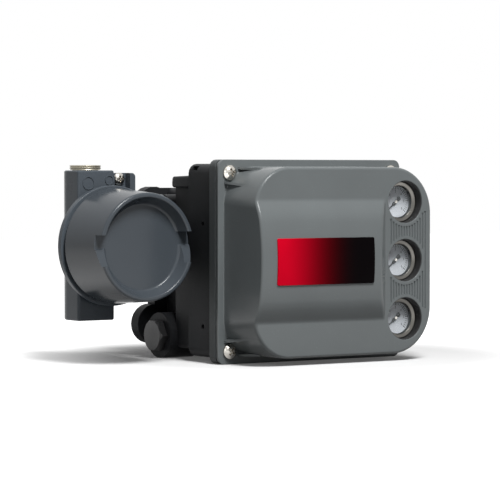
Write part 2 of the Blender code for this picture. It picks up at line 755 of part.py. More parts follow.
def make_base_screws():
    """Three socket screws through the module base into the housing."""
    pattern = finish(socket_screw("module_base_screw_1", BASE_SCREW_HEAD, BASE_SCREW_RISE,
                                  BASE_SCREW_SHANK, BASE_SCREW_LENGTH), "stainless")
    seat = Y_BASE + BASE_SCREW_SINK - SEAT
    spread(pattern, [(across, seat, level) for across, level in base_screw_points()])


def make_electronics():
    """The potted electronics module and its lid, on the left of the base."""
    def outline(inset):
        return rounded(ELECTRONICS_LEFT + inset, ELECTRONICS_RIGHT - inset, -ELECTRONICS_HALF + inset,
                       ELECTRONICS_HALF - inset, ELECTRONICS_CORNER)
    back = Y_BASE - SEAT
    front = back - ELECTRONICS_DEPTH
    lid_back = front - SEAT
    finish(prism("electronics_module", outline(0), "Y", front, back), "grey_plastic")
    finish(prism("electronics_lid", outline(ELECTRONICS_LID_INSET), "Y", lid_back - ELECTRONICS_LID,
                 lid_back), "black_plastic")


def make_relay():
    """The pneumatic relay: a stepped block, its adjustment disc and three screws."""
    back = Y_BASE - SEAT
    front = back - RELAY_DEPTH
    step = back - RELAY_STEP
    centre = (RELAY_X, RELAY_Z)
    foot = prism("relay", rounded(RELAY_X - RELAY_HALF, RELAY_X + RELAY_HALF, RELAY_Z - RELAY_HALF,
                                  RELAY_Z + RELAY_HALF, RELAY_CORNER), "Y", step, back)
    join(foot, turned("tower", [(RELAY_TOWER - OVERCUT, front), (RELAY_TOWER, front + OVERCUT),
                                (RELAY_TOWER, step + OVERCUT)], centre, "Y"))
    seat = front + DISC_SINK
    cutters = [rod("disc_seat", centre, DISC_RADIUS + TURN, "Y", front - OVERCUT, seat)]
    inset = RELAY_HALF - RELAY_SCREW_INSET
    corners = ((-1, 1), (1, 1), (-1, -1))
    places = [(RELAY_X + side * inset, RELAY_Z + level * inset) for side, level in corners]
    for point in places:
        cutters.append(rod("screw_hole", point, SMALL_SHANK + FIT, "Y", step - OVERCUT,
                           step + SMALL_LENGTH + HOLE_SPARE, COARSE_STEPS))
    finish(cut(foot, *cutters), "aluminium")
    make_adjuster(centre, seat)
    screw = finish(socket_screw("relay_screw_1", SMALL_HEAD, SMALL_RISE, SMALL_SHANK, SMALL_LENGTH),
                   "stainless")
    spread(screw, [(across, step - SEAT, level) for across, level in places])


def make_adjuster(centre, seat):
    """The relay's coin-slotted adjustment disc, with its origin on its axis."""
    back = seat - SEAT
    front = back - DISC_THICK
    disc = turned("relay_adjuster", [(DISC_RADIUS - DISC_CHAMFER, front), (DISC_RADIUS, front + DISC_CHAMFER),
                                     (DISC_RADIUS, back)], centre, "Y")
    reach = DISC_RADIUS - 2 * DISC_SLOT
    cut(disc, block("coin_slot", centre[0] - reach, centre[0] + reach, front - OVERCUT,
                    front + DISC_SLOT_DEPTH, centre[1] - DISC_SLOT / 2, centre[1] + DISC_SLOT / 2))
    finish(place(disc, (centre[0], seat, centre[1])), "black_plastic")


def make_converter():
    """The current-to-pressure converter under its shroud."""
    back = Y_BASE - SEAT
    front = back - CONVERTER_DEPTH
    foot = back - CONVERTER_FOOT
    centre = (RELAY_X, CONVERTER_Z)
    neck = CONVERTER_RADIUS - CONVERTER_NECK
    core = turned("ip_converter", [(neck, front), (neck, foot), (CONVERTER_RADIUS, foot),
                                   (CONVERTER_RADIUS, back)], centre, "Y")
    finish(core, "aluminium")
    inner = CONVERTER_RADIUS + FIT
    outer = inner + SHROUD_WALL
    roof = front - SEAT
    shroud = prism("ip_shroud", rounded(RELAY_X - outer, RELAY_X + outer, CONVERTER_Z - outer,
                                        CONVERTER_Z + outer, SHROUD_CORNER), "Y", roof - SHROUD_WALL, back)
    cut(shroud, rod("shroud_bore", centre, inner, "Y", roof, back + OVERCUT))
    finish(shroud, "black_plastic")


def make_sensor():
    """The travel sensor on the cavity's rear wall, behind the feedback channel."""
    back = CAVITY_FLOOR - SEAT
    front = back - SENSOR_DEPTH
    sensor = prism("travel_sensor", rounded(CHANNEL_X - SENSOR_HALF, CHANNEL_X + SENSOR_HALF,
                                            -SENSOR_HALF * 2, SENSOR_HALF * 2, SENSOR_CORNER), "Y",
                   front, back)
    boss = rod("sensor_boss", (CHANNEL_X, 0), SENSOR_BOSS, "Y", front - SENSOR_BOSS_RISE, front + OVERCUT)
    finish(join(sensor, boss), "grey_plastic")


# Cover

def cover_screw_points():
    """The four cover screws in X and Z."""
    return [(side * COVER_SCREW_X, level * COVER_SCREW_Z) for level in (1, -1) for side in (-1, 1)]


def dome_ring(station, inset, corner_left, corner_right):
    """One section of the dome, drawn in from its outer faces."""
    outline = rounded(-HALF_WIDTH + COVER_LEFT + inset, HALF_WIDTH - COVER_RIGHT - inset,
                      -HALF_HEIGHT + COVER_TOP + inset, HALF_HEIGHT - COVER_TOP - inset,
                      (corner_left, corner_right, corner_right, corner_left))
    return [to_space("Y", pair, station) for pair in outline]


def outer_dome():
    """The outer form: corners grow wider from the flange to the panel."""
    rings = [dome_ring(Y_FLANGE + OVERCUT, 0, BASE_CORNER_LEFT, BASE_CORNER_RIGHT)]
    wall_end = Y_PANEL + EDGE_RADIUS
    for share in (0.0, 0.5, 1.0):
        station = Y_FLANGE + (wall_end - Y_FLANGE) * share
        rings.append(dome_ring(
            station, 0, BASE_CORNER_LEFT + (PANEL_CORNER_LEFT - BASE_CORNER_LEFT) * share,
            BASE_CORNER_RIGHT + (PANEL_CORNER_RIGHT - BASE_CORNER_RIGHT) * share))
    for angle in (30, 60, 90):
        turn = math.radians(angle)
        inset = EDGE_RADIUS * (1 - math.cos(turn))
        rings.append(dome_ring(wall_end - EDGE_RADIUS * math.sin(turn), inset,
                               PANEL_CORNER_LEFT - inset, PANEL_CORNER_RIGHT - inset))
    return loft("front_cover", rings)


def bulge_form(name, wall, root):
    """The raised centre, level with the left wall, its other three sides sloping to the panel."""
    left = -HALF_WIDTH + COVER_LEFT + wall
    front = Y_BULGE + wall
    bend = 1 - BULGE_EASE / (2 * BULGE_SLOPE)
    levels = ((root, 0.0, 0.0), (Y_PANEL + wall, 0.0, 0.0), (front + BULGE_EASE, bend, 0.0),
              (front, 1.0, BULGE_EASE))
    rings = []
    for station, share, ease in levels:
        half = BULGE_HALF - wall - BULGE_SLOPE * share - ease
        end = BULGE_END - wall - BULGE_RUN * share - ease
        outline = rounded(left + ease, end, BULGE_CENTRE - half, BULGE_CENTRE + half,
                          (BULGE_EDGE, BULGE_CORNER, BULGE_CORNER, BULGE_EDGE), 4)
        rings.append([to_space("Y", pair, station) for pair in outline])
    return loft(name, rings)


def corner_rib(side, level, start, drop, lean, run, rise):
    """A thin rib from the flange up to a rounded corner; it leans inwards as it nears the dome."""
    wall = HALF_WIDTH - (COVER_LEFT if side < 0 else COVER_RIGHT + RIB_SHIFT) - start
    top = HALF_HEIGHT - COVER_TOP - drop
    profile = [(0, Y_FLANGE + OVERCUT), (0, Y_FLANGE - RIB_TOE), (run, Y_FLANGE - rise),
               (run + RIB_ROOT, Y_FLANGE - rise), (run + RIB_ROOT, Y_FLANGE + OVERCUT)]
    return loft("rib", [[(side * (wall - along), station, level * (top - lean * along + half))
                         for along, station in profile] for half in (-RIB / 2, RIB / 2)])


def corner_ribs(side, level):
    """The ribs above and below one corner screw."""
    return [corner_rib(side, level, UPPER_RIB_START, UPPER_RIB_DROP, UPPER_RIB_LEAN, UPPER_RIB_RUN,
                       UPPER_RIB_RISE),
            corner_rib(side, level, LOWER_RIB_START, LOWER_RIB_DROP, LOWER_RIB_LEAN, LOWER_RIB_RUN,
                       LOWER_RIB_RISE)]


def merge_meshes(target, other):
    """Put a second solid that stands clear into the same cutter."""
    shape = bmesh.new()
    shape.from_mesh(target.data)
    shape.from_mesh(other.data)
    shape.to_mesh(target.data)
    shape.free()
    bpy.data.objects.remove(other)
    return target


def groove_cutter():
    """Upright grooves between the gauges, kept clear of a plain ring round each window."""
    right = HALF_WIDTH - GROOVE_EDGE
    cutter = None
    for number in range(GROOVE_COUNT):
        start = right - GROOVE_WIDTH - number * GROOVE_PITCH
        bar = block("groove", start, start + GROOVE_WIDTH, Y_PANEL - OVERCUT, Y_PANEL + GROOVE_DEPTH,
                    -GROOVE_REACH, GROOVE_REACH)
        cutter = bar if cutter is None else merge_meshes(cutter, bar)
    rings = [rod("ring", (GAUGE_X, level), GAUGE_HOLE + GROOVE_RING, "Y", Y_PANEL - 2 * OVERCUT,
                 Y_PANEL + 2 * OVERCUT, SMOOTH_STEPS) for level in levels_of(GAUGE_PITCH)]
    return cut(cutter, *rings)


def make_cover():
    """The moulded front cover with its bulge, corner ribs, gauge windows and grooves."""
    cover = outer_dome()
    flange = prism("flange", rounded(-HALF_WIDTH, HALF_WIDTH, -HALF_HEIGHT, HALF_HEIGHT,
                                     FLANGE_RADIUS), "Y", Y_FLANGE, Y_SEAL)
    join(cover, flange, bulge_form("bulge", 0.0, Y_PANEL + BULGE_ROOT))
    for side in (-1, 1):
        for level in (-1, 1):
            join(cover, *corner_ribs(side, level))
    hollow = loft("hollow", [dome_ring(Y_SEAL + OVERCUT, COVER_WALL, INNER_CORNER_LEFT,
                                       INNER_CORNER_RIGHT),
                             dome_ring(Y_PANEL + COVER_WALL, COVER_WALL, PANEL_CORNER_LEFT - COVER_WALL,
                                       PANEL_CORNER_RIGHT - COVER_WALL)])
    join(hollow, bulge_form("bulge_hollow", COVER_WALL, Y_PANEL + COVER_WALL + BULGE_ROOT))
    for level in levels_of(GAUGE_PITCH):
        cut(hollow, rod("collar", (GAUGE_X, level), GAUGE_HOLE + COLLAR_WALL, "Y",
                        Y_PANEL, Y_PANEL + COLLAR_DEPTH, SMOOTH_STEPS))
    cut(cover, hollow)
    windows = [rod("window", (GAUGE_X, level), GAUGE_HOLE, "Y", Y_PANEL - OVERCUT,
                   Y_PANEL + COLLAR_DEPTH + OVERCUT, SMOOTH_STEPS) for level in levels_of(GAUGE_PITCH)]
    holes = [rod("screw_hole", point, COVER_SCREW_SHANK + FIT, "Y", Y_FLANGE - OVERCUT, Y_SEAL + OVERCUT,
                 COARSE_STEPS) for point in cover_screw_points()]
    return finish(cut(cover, groove_cutter(), *windows, *holes), "casting")


def make_cover_seal():
    """The black gasket between cover flange and module base."""
    def outline(inset, corner):
        return rounded(-HALF_WIDTH + inset, HALF_WIDTH - inset, -HALF_HEIGHT + inset,
                       HALF_HEIGHT - inset, corner)
    front = Y_SEAL + SEAT
    back = Y_BASE - SEAT
    seal = prism("cover_seal", outline(COVER_SEAL_INSET, FLANGE_RADIUS - COVER_SEAL_INSET), "Y", front, back)
    hole = prism("seal_hole", outline(COVER_SEAL_INSET + COVER_SEAL_WIDTH, COVER_SEAL_CORNER), "Y",
                 front - OVERCUT, back + OVERCUT)
    return finish(cut(seal, hole), "rubber")


def make_cover_screws():
    """Four captive pan-head screws at the cover's corners."""
    pattern = finish(cross_screw("cover_screw_1", COVER_SCREW_HEAD, COVER_SCREW_RISE,
                                 COVER_SCREW_SHANK, COVER_SCREW_LENGTH), "stainless")
    spread(pattern, [(across, Y_FLANGE - SEAT, level) for across, level in cover_screw_points()])


def make_label():
    """The plain coloured plate on the bulge."""
    back = Y_BULGE - SEAT
    half = LABEL_HEIGHT / 2
    finish(prism("label_plate", rounded(LABEL_LEFT, LABEL_RIGHT, BULGE_CENTRE - half, BULGE_CENTRE + half,
                                        LABEL_RADIUS, 3), "Y", back - LABEL_THICK, back), "label")


# Gauges

def make_gauge(number, level):
    """One pressure gauge: case with stem, dial, pointer on its axis and lens."""
    centre = (GAUGE_X, level)
    front = Y_PANEL + GAUGE_SUNK
    dial_front = front + DIAL_SUNK
    dial_back = dial_front + DIAL_THICK
    finish(gauge_case(number, centre, front, dial_back + SEAT), "stainless")
    dial = rod(f"gauge_dial_{number}", centre, GAUGE_BORE - FIT, "Y", dial_front, dial_back, SMOOTH_STEPS)
    cut(dial, rod("spindle_hole", centre, POINTER_PIN + FIT, "Y", dial_front - OVERCUT,
                  dial_back + OVERCUT, COARSE_STEPS))
    finish(dial, "dial")
    make_pointer(number, centre, dial_front - SEAT)
    lens_front = front + LENS_SUNK
    finish(rod(f"gauge_lens_{number}", centre, GAUGE_BORE - FIT, "Y", lens_front,
               lens_front + LENS_THICK, SMOOTH_STEPS), "lens")


def gauge_case(number, centre, front, floor):
    """The steel case, open at the front, with its stem behind."""
    back = front + GAUGE_CASE_DEPTH
    foot = Y_BASE - MANIFOLD_HEIGHT - SEAT
    profile = [(GAUGE_BORE, floor), (GAUGE_BORE, front), (GAUGE_CASE - CASE_LIP, front),
               (GAUGE_CASE, front + CASE_LIP), (GAUGE_CASE, back - CASE_HEEL),
               (GAUGE_CASE - CASE_HEEL, back), (STEM_RADIUS, back), (STEM_RADIUS, foot)]
    return turned(f"gauge_case_{number}", profile, centre, "Y", SMOOTH_STEPS)


def make_pointer(number, centre, back):
    """The pointer, drawn pointing right and turned to its zero mark, with its spindle pin."""
    front = back - POINTER_THICK
    half = [(POINTER_REACH, POINTER_TIP), (POINTER_HUB / 2, POINTER_WAIST),
            (-POINTER_TAIL, POINTER_TAIL_HALF)]
    outline = half + [(across, -rise) for across, rise in reversed(half)]
    turn = math.radians(POINTER_ZERO)
    placed = [(centre[0] + across * math.cos(turn) - rise * math.sin(turn),
               centre[1] + across * math.sin(turn) + rise * math.cos(turn)) for across, rise in outline]
    pointer = prism(f"gauge_pointer_{number}", placed, "Y", front, back)
    hub = turned("hub", [(POINTER_HUB - POINTER_HUB_RISE, front - POINTER_HUB_RISE), (POINTER_HUB, front),
                         (POINTER_HUB, back), (POINTER_PIN, back), (POINTER_PIN, back + SEAT + DIAL_THICK)],
                 centre, "Y", COARSE_STEPS)
    finish(place(join(pointer, hub), (centre[0], back, centre[1])), "pointer")


# Terminal box

def cap_axis():
    """The cap's axis in X and Z."""
    return (CAP_X, CAP_Z)


def make_cap():
    """The screwed cap: tapered skirt, dished face and two wrench notches through its rim."""
    floor = CAP_Y + CAP_RECESS
    inner = floor + CAP_DISC_THICK
    skirt = SPIGOT_RADIUS + TURN
    rim = CAP_FRONT - CAP_RIM
    profile = [(CAP_DISC, floor), (rim, CAP_Y + CAP_ROUND), (rim + CAP_ROUND, CAP_Y),
               (CAP_FRONT - CAP_EDGE, CAP_Y), (CAP_FRONT, CAP_Y + CAP_EDGE),
               (CAP_REAR, CAP_BACK - CAP_EDGE), (CAP_REAR - CAP_EDGE, CAP_BACK), (skirt, CAP_BACK),
               (skirt, CAP_BACK - SPIGOT_LENGTH - THREAD_RELIEF), (CAP_DISC, inner + CAP_COVE),
               (CAP_DISC - CAP_COVE, inner)]
    cap = turned("terminal_box_cap", profile, cap_axis(), "Y", SMOOTH_STEPS)
    cut(cap, wrench_notch(floor))
    screw_y = CAP_BACK - SET_SCREW_SETBACK
    cut(cap, rod("set_screw_hole", (CAP_X, screw_y), SMALL_SHANK + FIT, "Z", CAP_Z - CAP_REAR - OVERCUT,
                 CAP_Z - skirt + OVERCUT, COARSE_STEPS))
    finish(place(cap, (CAP_X, CAP_BACK, CAP_Z)), "cap_casting")
    low = CAP_Z - CAP_REAR + SET_SCREW_SINK
    finish(rod("cap_set_screw", (CAP_X, screw_y), SMALL_SHANK, "Z", low, low + SET_SCREW_LENGTH,
               COARSE_STEPS), "stainless")


def wrench_notch(floor):
    """The slot through both sides of the rim, stepped below and ramped to the dished face above."""
    reach = CAP_REAR + THREAD_RELIEF
    front = CAP_Y - OVERCUT
    ramp = floor - NOTCH_RAMP_RISE
    bed = floor - NOTCH_SKIN
    outline = [(front, NOTCH_LOW), (floor - NOTCH_STEP, NOTCH_LOW), (ramp, -NOTCH_RAMP), (bed, NOTCH_RAMP),
               (bed, NOTCH_HIGH), (front, NOTCH_HIGH)]
    notch = prism("notch", outline, "X", -reach, reach)
    tilt = Matrix.Rotation(math.radians(-NOTCH_TILT), 4, "Y")
    notch.data.transform(Matrix.Translation([CAP_X * MM, 0, CAP_Z * MM]) @ tilt)
    return notch


def make_oring():
    """The ring between cap and box."""
    middle = CAP_BACK + SEAT + ORING_RADIUS
    radius = CAP_REAR - ORING_INSET
    profile = [(radius + across, middle + along) for across, along in circle((0, 0), ORING_RADIUS, 6)]
    ring = turned("cap_oring", profile, cap_axis(), "Y", SMOOTH_STEPS, ring=True)
    finish(place(ring, (CAP_X, middle, CAP_Z)), "rubber")


def box_barrel(spigot_front):
    """The turned part of the casting: spigot, flange, tapering barrel and closed rear."""
    flange_front = CAP_BACK + 2 * SEAT + 2 * ORING_RADIUS
    flange_back = flange_front + BOX_FLANGE_DEPTH
    return turned("terminal_box", [
        (SPIGOT_RADIUS - CAP_EDGE, spigot_front), (SPIGOT_RADIUS, spigot_front + CAP_EDGE),
        (SPIGOT_RADIUS, flange_front), (BOX_FLANGE - CAP_ROUND, flange_front),
        (BOX_FLANGE, flange_front + CAP_ROUND), (BOX_FLANGE, flange_back - CAP_EDGE),
        (BOX_BARREL, flange_back + CAP_EDGE), (BOX_BACK_RADIUS, BOX_BACK)], cap_axis(), "Y", SMOOTH_STEPS)


def conduit_column():
    """The upright conduit column: flat front, round back."""
    outline = ([(COLUMN_X - COLUMN_RADIUS, COLUMN_FRONT), (COLUMN_X + COLUMN_RADIUS, COLUMN_FRONT)]
               + arc((COLUMN_X, COLUMN_Y), COLUMN_RADIUS, 0, 180, ROUND_STEPS))
    return prism("column", outline, "Z", COLUMN_BOTTOM, COLUMN_TOP)


def make_terminal_box():
    """The casting: threaded spigot, barrel, conduit column, earthing pocket and neck."""
    spigot_front = CAP_BACK - SPIGOT_LENGTH
    ear = prism("ear_block", rounded(COLUMN_X, EAR_BLOCK_END, CAP_Z, EAR_BLOCK_TOP, EAR_BLOCK_RADIUS), "Y",
                COLUMN_FRONT + EAR_BLOCK_SETBACK, COLUMN_Y + EAR_BLOCK_TAIL)
    neck_end = -MID_SIDE - 2 * SEAT - NECK_SEAL
    foot = neck_end - NECK_FLANGE_THICK
    screw_level = CAP_Z + NECK_SCREW_RISE
    neck = rod("neck", (NECK_Y, CAP_Z), NECK_RADIUS, "X", CAP_X, neck_end, SMOOTH_STEPS)
    neck_flange = rod("neck_flange", (NECK_Y, CAP_Z), NECK_FLANGE, "X", foot, neck_end, SMOOTH_STEPS)
    lug = rod("neck_lug", (NECK_Y, screw_level), NECK_LUG, "X", foot, neck_end)
    web = block("neck_web", foot, neck_end, NECK_Y - NECK_LUG, NECK_Y + NECK_LUG, CAP_Z, screw_level)
    box = join(box_barrel(spigot_front), conduit_column(), ear, neck, neck_flange, lug, web)
    earth_floor = COLUMN_FRONT + GROUND_DEPTH
    cutters = [
        rod("bore", cap_axis(), BOX_BORE, "Y", spigot_front - OVERCUT, BOX_LEDGE, SMOOTH_STEPS),
        rod("pocket", cap_axis(), BOX_POCKET, "Y", BOX_LEDGE - OVERCUT, BOX_FLOOR, SMOOTH_STEPS),
        block("earth_pocket", COLUMN_X + COLUMN_RADIUS + GROUND_GAP, EAR_BLOCK_END - EAR_BLOCK_WALL,
              COLUMN_FRONT - OVERCUT, earth_floor, EAR_BLOCK_TOP - GROUND_HEIGHT, EAR_BLOCK_TOP + OVERCUT),
        rod("earth_hole", (GROUND_X, GROUND_Z), SMALL_SHANK + FIT, "Y", COLUMN_FRONT,
            earth_floor + SMALL_LENGTH + FIT, COARSE_STEPS),
        rod("top_entry", (COLUMN_X, COLUMN_Y), CONDUIT_HOLE, "Z", COLUMN_TOP - CONDUIT_TOP_DEPTH,
            COLUMN_TOP + OVERCUT),
        rod("low_entry", (COLUMN_X, COLUMN_Y), CONDUIT_HOLE, "Z", COLUMN_BOTTOM - OVERCUT,
            COLUMN_BOTTOM + CONDUIT_LOW_DEPTH),
        rod("neck_screw_hole", (NECK_Y, screw_level), BASE_SCREW_SHANK + FIT, "X",
            foot - OVERCUT, neck_end + OVERCUT, COARSE_STEPS),
        rod("inner_earth_hole", (CAP_X + INNER_EARTH_RIGHT, CAP_Z - INNER_EARTH_DROP), SMALL_SHANK + FIT,
            "Y", BOX_LEDGE - OVERCUT, BOX_LEDGE + SMALL_LENGTH + FIT, COARSE_STEPS)]
    finish(cut(box, *cutters), "dark_casting")


def make_box_fasteners():
    """The neck's seal and fixing screw, and the two earthing screws."""
    seal_end = -MID_SIDE - SEAT
    seal_start = seal_end - NECK_SEAL
    seal = turned("terminal_box_seal", [(NECK_SEAL_BORE, seal_start), (NECK_SEAL_RADIUS, seal_start),
                                        (NECK_SEAL_RADIUS, seal_end), (NECK_SEAL_BORE, seal_end)],
                  (NECK_Y, CAP_Z), "X", ROUND_STEPS, ring=True)
    finish(seal, "rubber")
    fixing = finish(socket_screw("terminal_box_screw", BASE_SCREW_HEAD, BASE_SCREW_RISE,
                                 BASE_SCREW_SHANK, BASE_SCREW_LENGTH), "stainless")
    seat = seal_start - 2 * SEAT - NECK_FLANGE_THICK
    fixing.matrix_world = (Matrix.Translation([seat * MM, NECK_Y * MM, (CAP_Z + NECK_SCREW_RISE) * MM])
                           @ Matrix.Rotation(math.radians(-90), 4, "Z"))
    outer = (GROUND_X, COLUMN_FRONT + GROUND_DEPTH - SEAT, GROUND_Z)
    inner = (CAP_X + INNER_EARTH_RIGHT, BOX_LEDGE - SEAT, CAP_Z - INNER_EARTH_DROP)
    for name, head, rise, point in (("earth_screw_outer", EARTH_HEAD, EARTH_RISE, outer),
                                    ("earth_screw_inner", SMALL_HEAD, SMALL_RISE, inner)):
        screw = finish(cross_screw(name, head, rise, SMALL_SHANK, SMALL_LENGTH), "stainless")
        screw.matrix_world = Matrix.Translation([value * MM for value in point])


def make_conduit_plug():
    """The light metal plug in the column's upper entry, with a dished top and a ridged head."""
    seat = COLUMN_TOP + SEAT
    top = seat + PLUG_PROUD
    dish = PLUG_HEAD - PLUG_DISH
    shank = CONDUIT_HOLE - FIT
    plug = turned("conduit_plug", [
        (dish - PLUG_RIDGE, top - PLUG_DISH_DEPTH), (dish, top), (PLUG_HEAD - PLUG_RIDGE, top),
        (PLUG_HEAD, top - PLUG_RIDGE), (PLUG_HEAD, top - 2 * PLUG_RIDGE),
        (PLUG_HEAD - PLUG_RIDGE, top - 3 * PLUG_RIDGE), (PLUG_HEAD, top - 4 * PLUG_RIDGE), (PLUG_HEAD, seat),
        (shank, seat), (shank, seat - PLUG_SHANK)], (COLUMN_X, COLUMN_Y), "Z", EAR_STEPS)
    finish(plug, "zinc")


def make_terminals():
    """The terminal block on the box's floor, with a screw for each way."""
    back = BOX_FLOOR - SEAT
    front = back - TERMINAL_DEPTH
    half = TERMINAL_LENGTH / 2
    rise = TERMINAL_HEIGHT / 2
    strip = prism("terminal_block", rounded(CAP_X - half, CAP_X + half, CAP_Z - rise, CAP_Z + rise,
                                            TERMINAL_RADIUS, 3), "Y", front, back)
    first = CAP_X - TERMINAL_PITCH * (TERMINAL_COUNT - 1) / 2
    places = [first + number * TERMINAL_PITCH for number in range(TERMINAL_COUNT)]
    cut(strip, *[rod("terminal_hole", (across, CAP_Z), SMALL_SHANK + FIT, "Y", front - OVERCUT,
                     front + SMALL_LENGTH + HOLE_SPARE, COARSE_STEPS) for across in places])
    finish(strip, "ivory_plastic")
    pattern = finish(cross_screw("terminal_screw_1", SMALL_HEAD, SMALL_RISE, SMALL_SHANK, SMALL_LENGTH),
                     "zinc")
    spread(pattern, [(across, front - SEAT, CAP_Z) for across in places])


def build():
    """Clear the scene and make every piece."""
    for thing in list(bpy.data.objects):
        bpy.data.objects.remove(thing)
    make_housing()
    make_vent_plug()
    make_module_base()
    make_base_seal()
    make_base_screws()
    make_electronics()
    make_relay()
    make_converter()
    make_sensor()
    make_cover()
    make_cover_seal()
    make_cover_screws()
    make_label()
    for number, level in enumerate(levels_of(GAUGE_PITCH), start=1):
        make_gauge(number, level)
    make_cap()
    make_oring()
    make_terminal_box()
    make_box_fasteners()
    make_conduit_plug()
    make_terminals()


build()
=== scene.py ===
"""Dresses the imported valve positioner: fine surfaces, finishes, studio and camera.

The file is laid out as an add-on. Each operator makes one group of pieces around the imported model,
which is loaded first. Lengths in the helpers are millimetres, and those in the properties are metres.
"""

import math

import bpy
import bmesh
from mathutils import Matrix, Vector, geometry


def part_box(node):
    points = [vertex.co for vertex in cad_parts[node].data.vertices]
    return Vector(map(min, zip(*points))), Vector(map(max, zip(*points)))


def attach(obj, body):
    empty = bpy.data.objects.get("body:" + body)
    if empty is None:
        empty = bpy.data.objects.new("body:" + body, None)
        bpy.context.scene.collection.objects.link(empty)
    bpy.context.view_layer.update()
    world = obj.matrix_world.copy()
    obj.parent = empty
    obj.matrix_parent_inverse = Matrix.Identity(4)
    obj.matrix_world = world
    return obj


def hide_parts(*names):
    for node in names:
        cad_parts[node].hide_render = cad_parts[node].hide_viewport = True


bl_info = {
    "name": "Valve positioner dresser",
    "version": (1, 0, 0),
    "blender": (4, 5, 0),
    "location": "3D View > Sidebar > Positioner",
    "description": "Builds the finished surfaces of a valve positioner around its packed model",
    "category": "Object",
}

MM = 0.001
BODY = "positioner_body"
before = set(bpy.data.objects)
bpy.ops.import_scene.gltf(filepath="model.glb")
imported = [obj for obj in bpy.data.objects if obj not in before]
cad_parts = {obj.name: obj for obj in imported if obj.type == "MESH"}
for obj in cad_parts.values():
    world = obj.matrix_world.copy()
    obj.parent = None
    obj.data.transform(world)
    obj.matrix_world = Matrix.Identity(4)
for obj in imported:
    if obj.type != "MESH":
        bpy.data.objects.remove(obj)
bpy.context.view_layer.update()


class Span:
    """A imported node's box in millimetres, named by side; its axis is its middle seen from the front."""

    def __init__(self, node):
        low, high = (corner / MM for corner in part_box(node))
        self.left, self.front, self.bottom = low
        self.right, self.back, self.top = high
        self.middle = (low + high) / 2
        self.size = high - low
        self.axis = (self.middle.x, self.middle.z)


# Places read from the frame
BASE = Span("module_base")
COVER = Span("front_cover")
HOUSING = Span("housing")
LABEL = Span("label_plate")
CAP = Span("terminal_box_cap")
RING = Span("cap_oring")
BOX = Span("terminal_box")
PLUG = Span("conduit_plug")
EARTH = Span("earth_screw_outer")
CASES, DIALS, LENSES = ([Span(f"gauge_{part}_{number}") for number in (1, 2, 3)]
                        for part in ("case", "dial", "lens"))
COVER_SCREWS = [f"cover_screw_{number}" for number in (1, 2, 3, 4)]

# Depths shared by neighbouring pieces
GAP = 0.3
Y_SEAL = COVER.back
Y_FLANGE = Y_SEAL - 2.0
Y_PANEL = CASES[0].front - 8.0
BULGE_RISE = Y_PANEL - COVER.front

# Dome of the cover, drawn in from the flange's edges; corner radii are left and right
FLANGE_RADIUS = 5.5
FLANGE_EDGE = 0.5
DOME_LEFT = COVER.left + 5.0
DOME_RIGHT = COVER.right - 1.0
DOME_TOP = COVER.top - 5.4
DOME_BOTTOM = COVER.bottom + 5.4
BASE_CORNERS = (27.0, 33.8)
PANEL_CORNERS = (30.0, 34.0)
INNER_CORNERS = (24.0, 30.8)
WALL_STEPS = 8
SIDE_STEPS = 32
ROOT_FILLET = 0.8
RIM_TURN = 0.4
RIM_CLEAR = 0.8

# Raised centre of the cover, and the space behind it
BULGE_CENTRE = 1.1
BULGE_HALF = 43.6
BULGE_SLOPE = 13.0
BULGE_END = COVER.right - 43.5
BULGE_RUN = 10.0
BULGE_ROOT = 12.0
BULGE_SKIN = 1.5
HOLLOW_CORNER = 4.0

# Ribs beside a corner screw: start along and below the corner, lean, run and rise
RIB = 1.6
RIB_TOE = 0.5
RIB_ROOT = 8.0
RIB_SHIFT = 1.0
RIBS = ((12.0, 0.9, 0.1, 7.0, 18.0), (0.1, 11.1, 0.48, 5.8, 25.0))

# Windows, the grooves between them, and the screws' holes
WINDOW = 15.6
COLLAR_DEPTH = 8.6
COLLAR_WALL = 1.6
PLAIN_RING = 2.4
GROOVE_EDGE = 6.0
GROOVE_LIP = 0.25
SCREW_HOLE = 2.9

# Terminal box cap: radii drawn in from its rear edge, depths from its front, and its wrench notches
CAP_RADIUS = CAP.size.x / 2
CAP_TAPER = 3.1
CAP_LIP = 7.5
CAP_RIM = 3.6
CAP_RECESS = 9.0
CAP_DISC = 4.0
CAP_COVE = 4.0
CAP_FLAT = 6.0
SKIRT = CAP_RADIUS - 5.7
SPIGOT = SKIRT - GAP
SPIGOT_LENGTH = 11.0
THREAD_RELIEF = 4.0
SET_SCREW_HOLE = 1.8
NOTCH_LOW = -12.4
NOTCH_HIGH = 10.0
NOTCH_STEP = 6.0
NOTCH_RAMP = 0.5
NOTCH_RAMP_RISE = 1.5
NOTCH_TILT = 1.6

# Terminal box: conduit column, barrel, ear of the earth screw, entries and neck
COLUMN = (PLUG.middle.x, PLUG.middle.y)
COLUMN_RADIUS = 15.5
COLUMN_FRONT = COLUMN[1] - 16.0
COLUMN_EDGE = 1.4
COLUMN_SOFT = 1.8
BOX_FACE = RING.back + GAP
BOX_FLANGE = CAP.middle.x - BOX.left
BARREL_END = (19.0, -16.0)
BOX_LEDGE = -44.0
BOX_FLOOR = -30.0
BOX_BORE = 32.0
BOX_POCKET = 24.0
EAR_RIGHT = COLUMN[0] + 35.0
EAR_TOP = BOX.top - 1.9
EAR_POCKET = EAR_TOP - 14.3
EAR_EDGE = 0.9
EARTH_FLOOR = EARTH.front + 3.0 + GAP
EARTH_HOLE = 1.8
EARTH_DEPTH = 6.8
INNER_EARTH = (CAP.middle.x + 19.2, CAP.middle.z - 20.96)
CONDUIT = 9.8
CONDUIT_TOP = 40.0
CONDUIT_LOW = 43.0
NECK = (-32.0, CAP.middle.z)
NECK_RADIUS = 18.0
NECK_FLANGE = 23.0
NECK_START = BOX.right - 6.0
NECK_HOLE = 3.3
LUG = 8.0
LUG_LEVEL = CAP.middle.z + 29.0
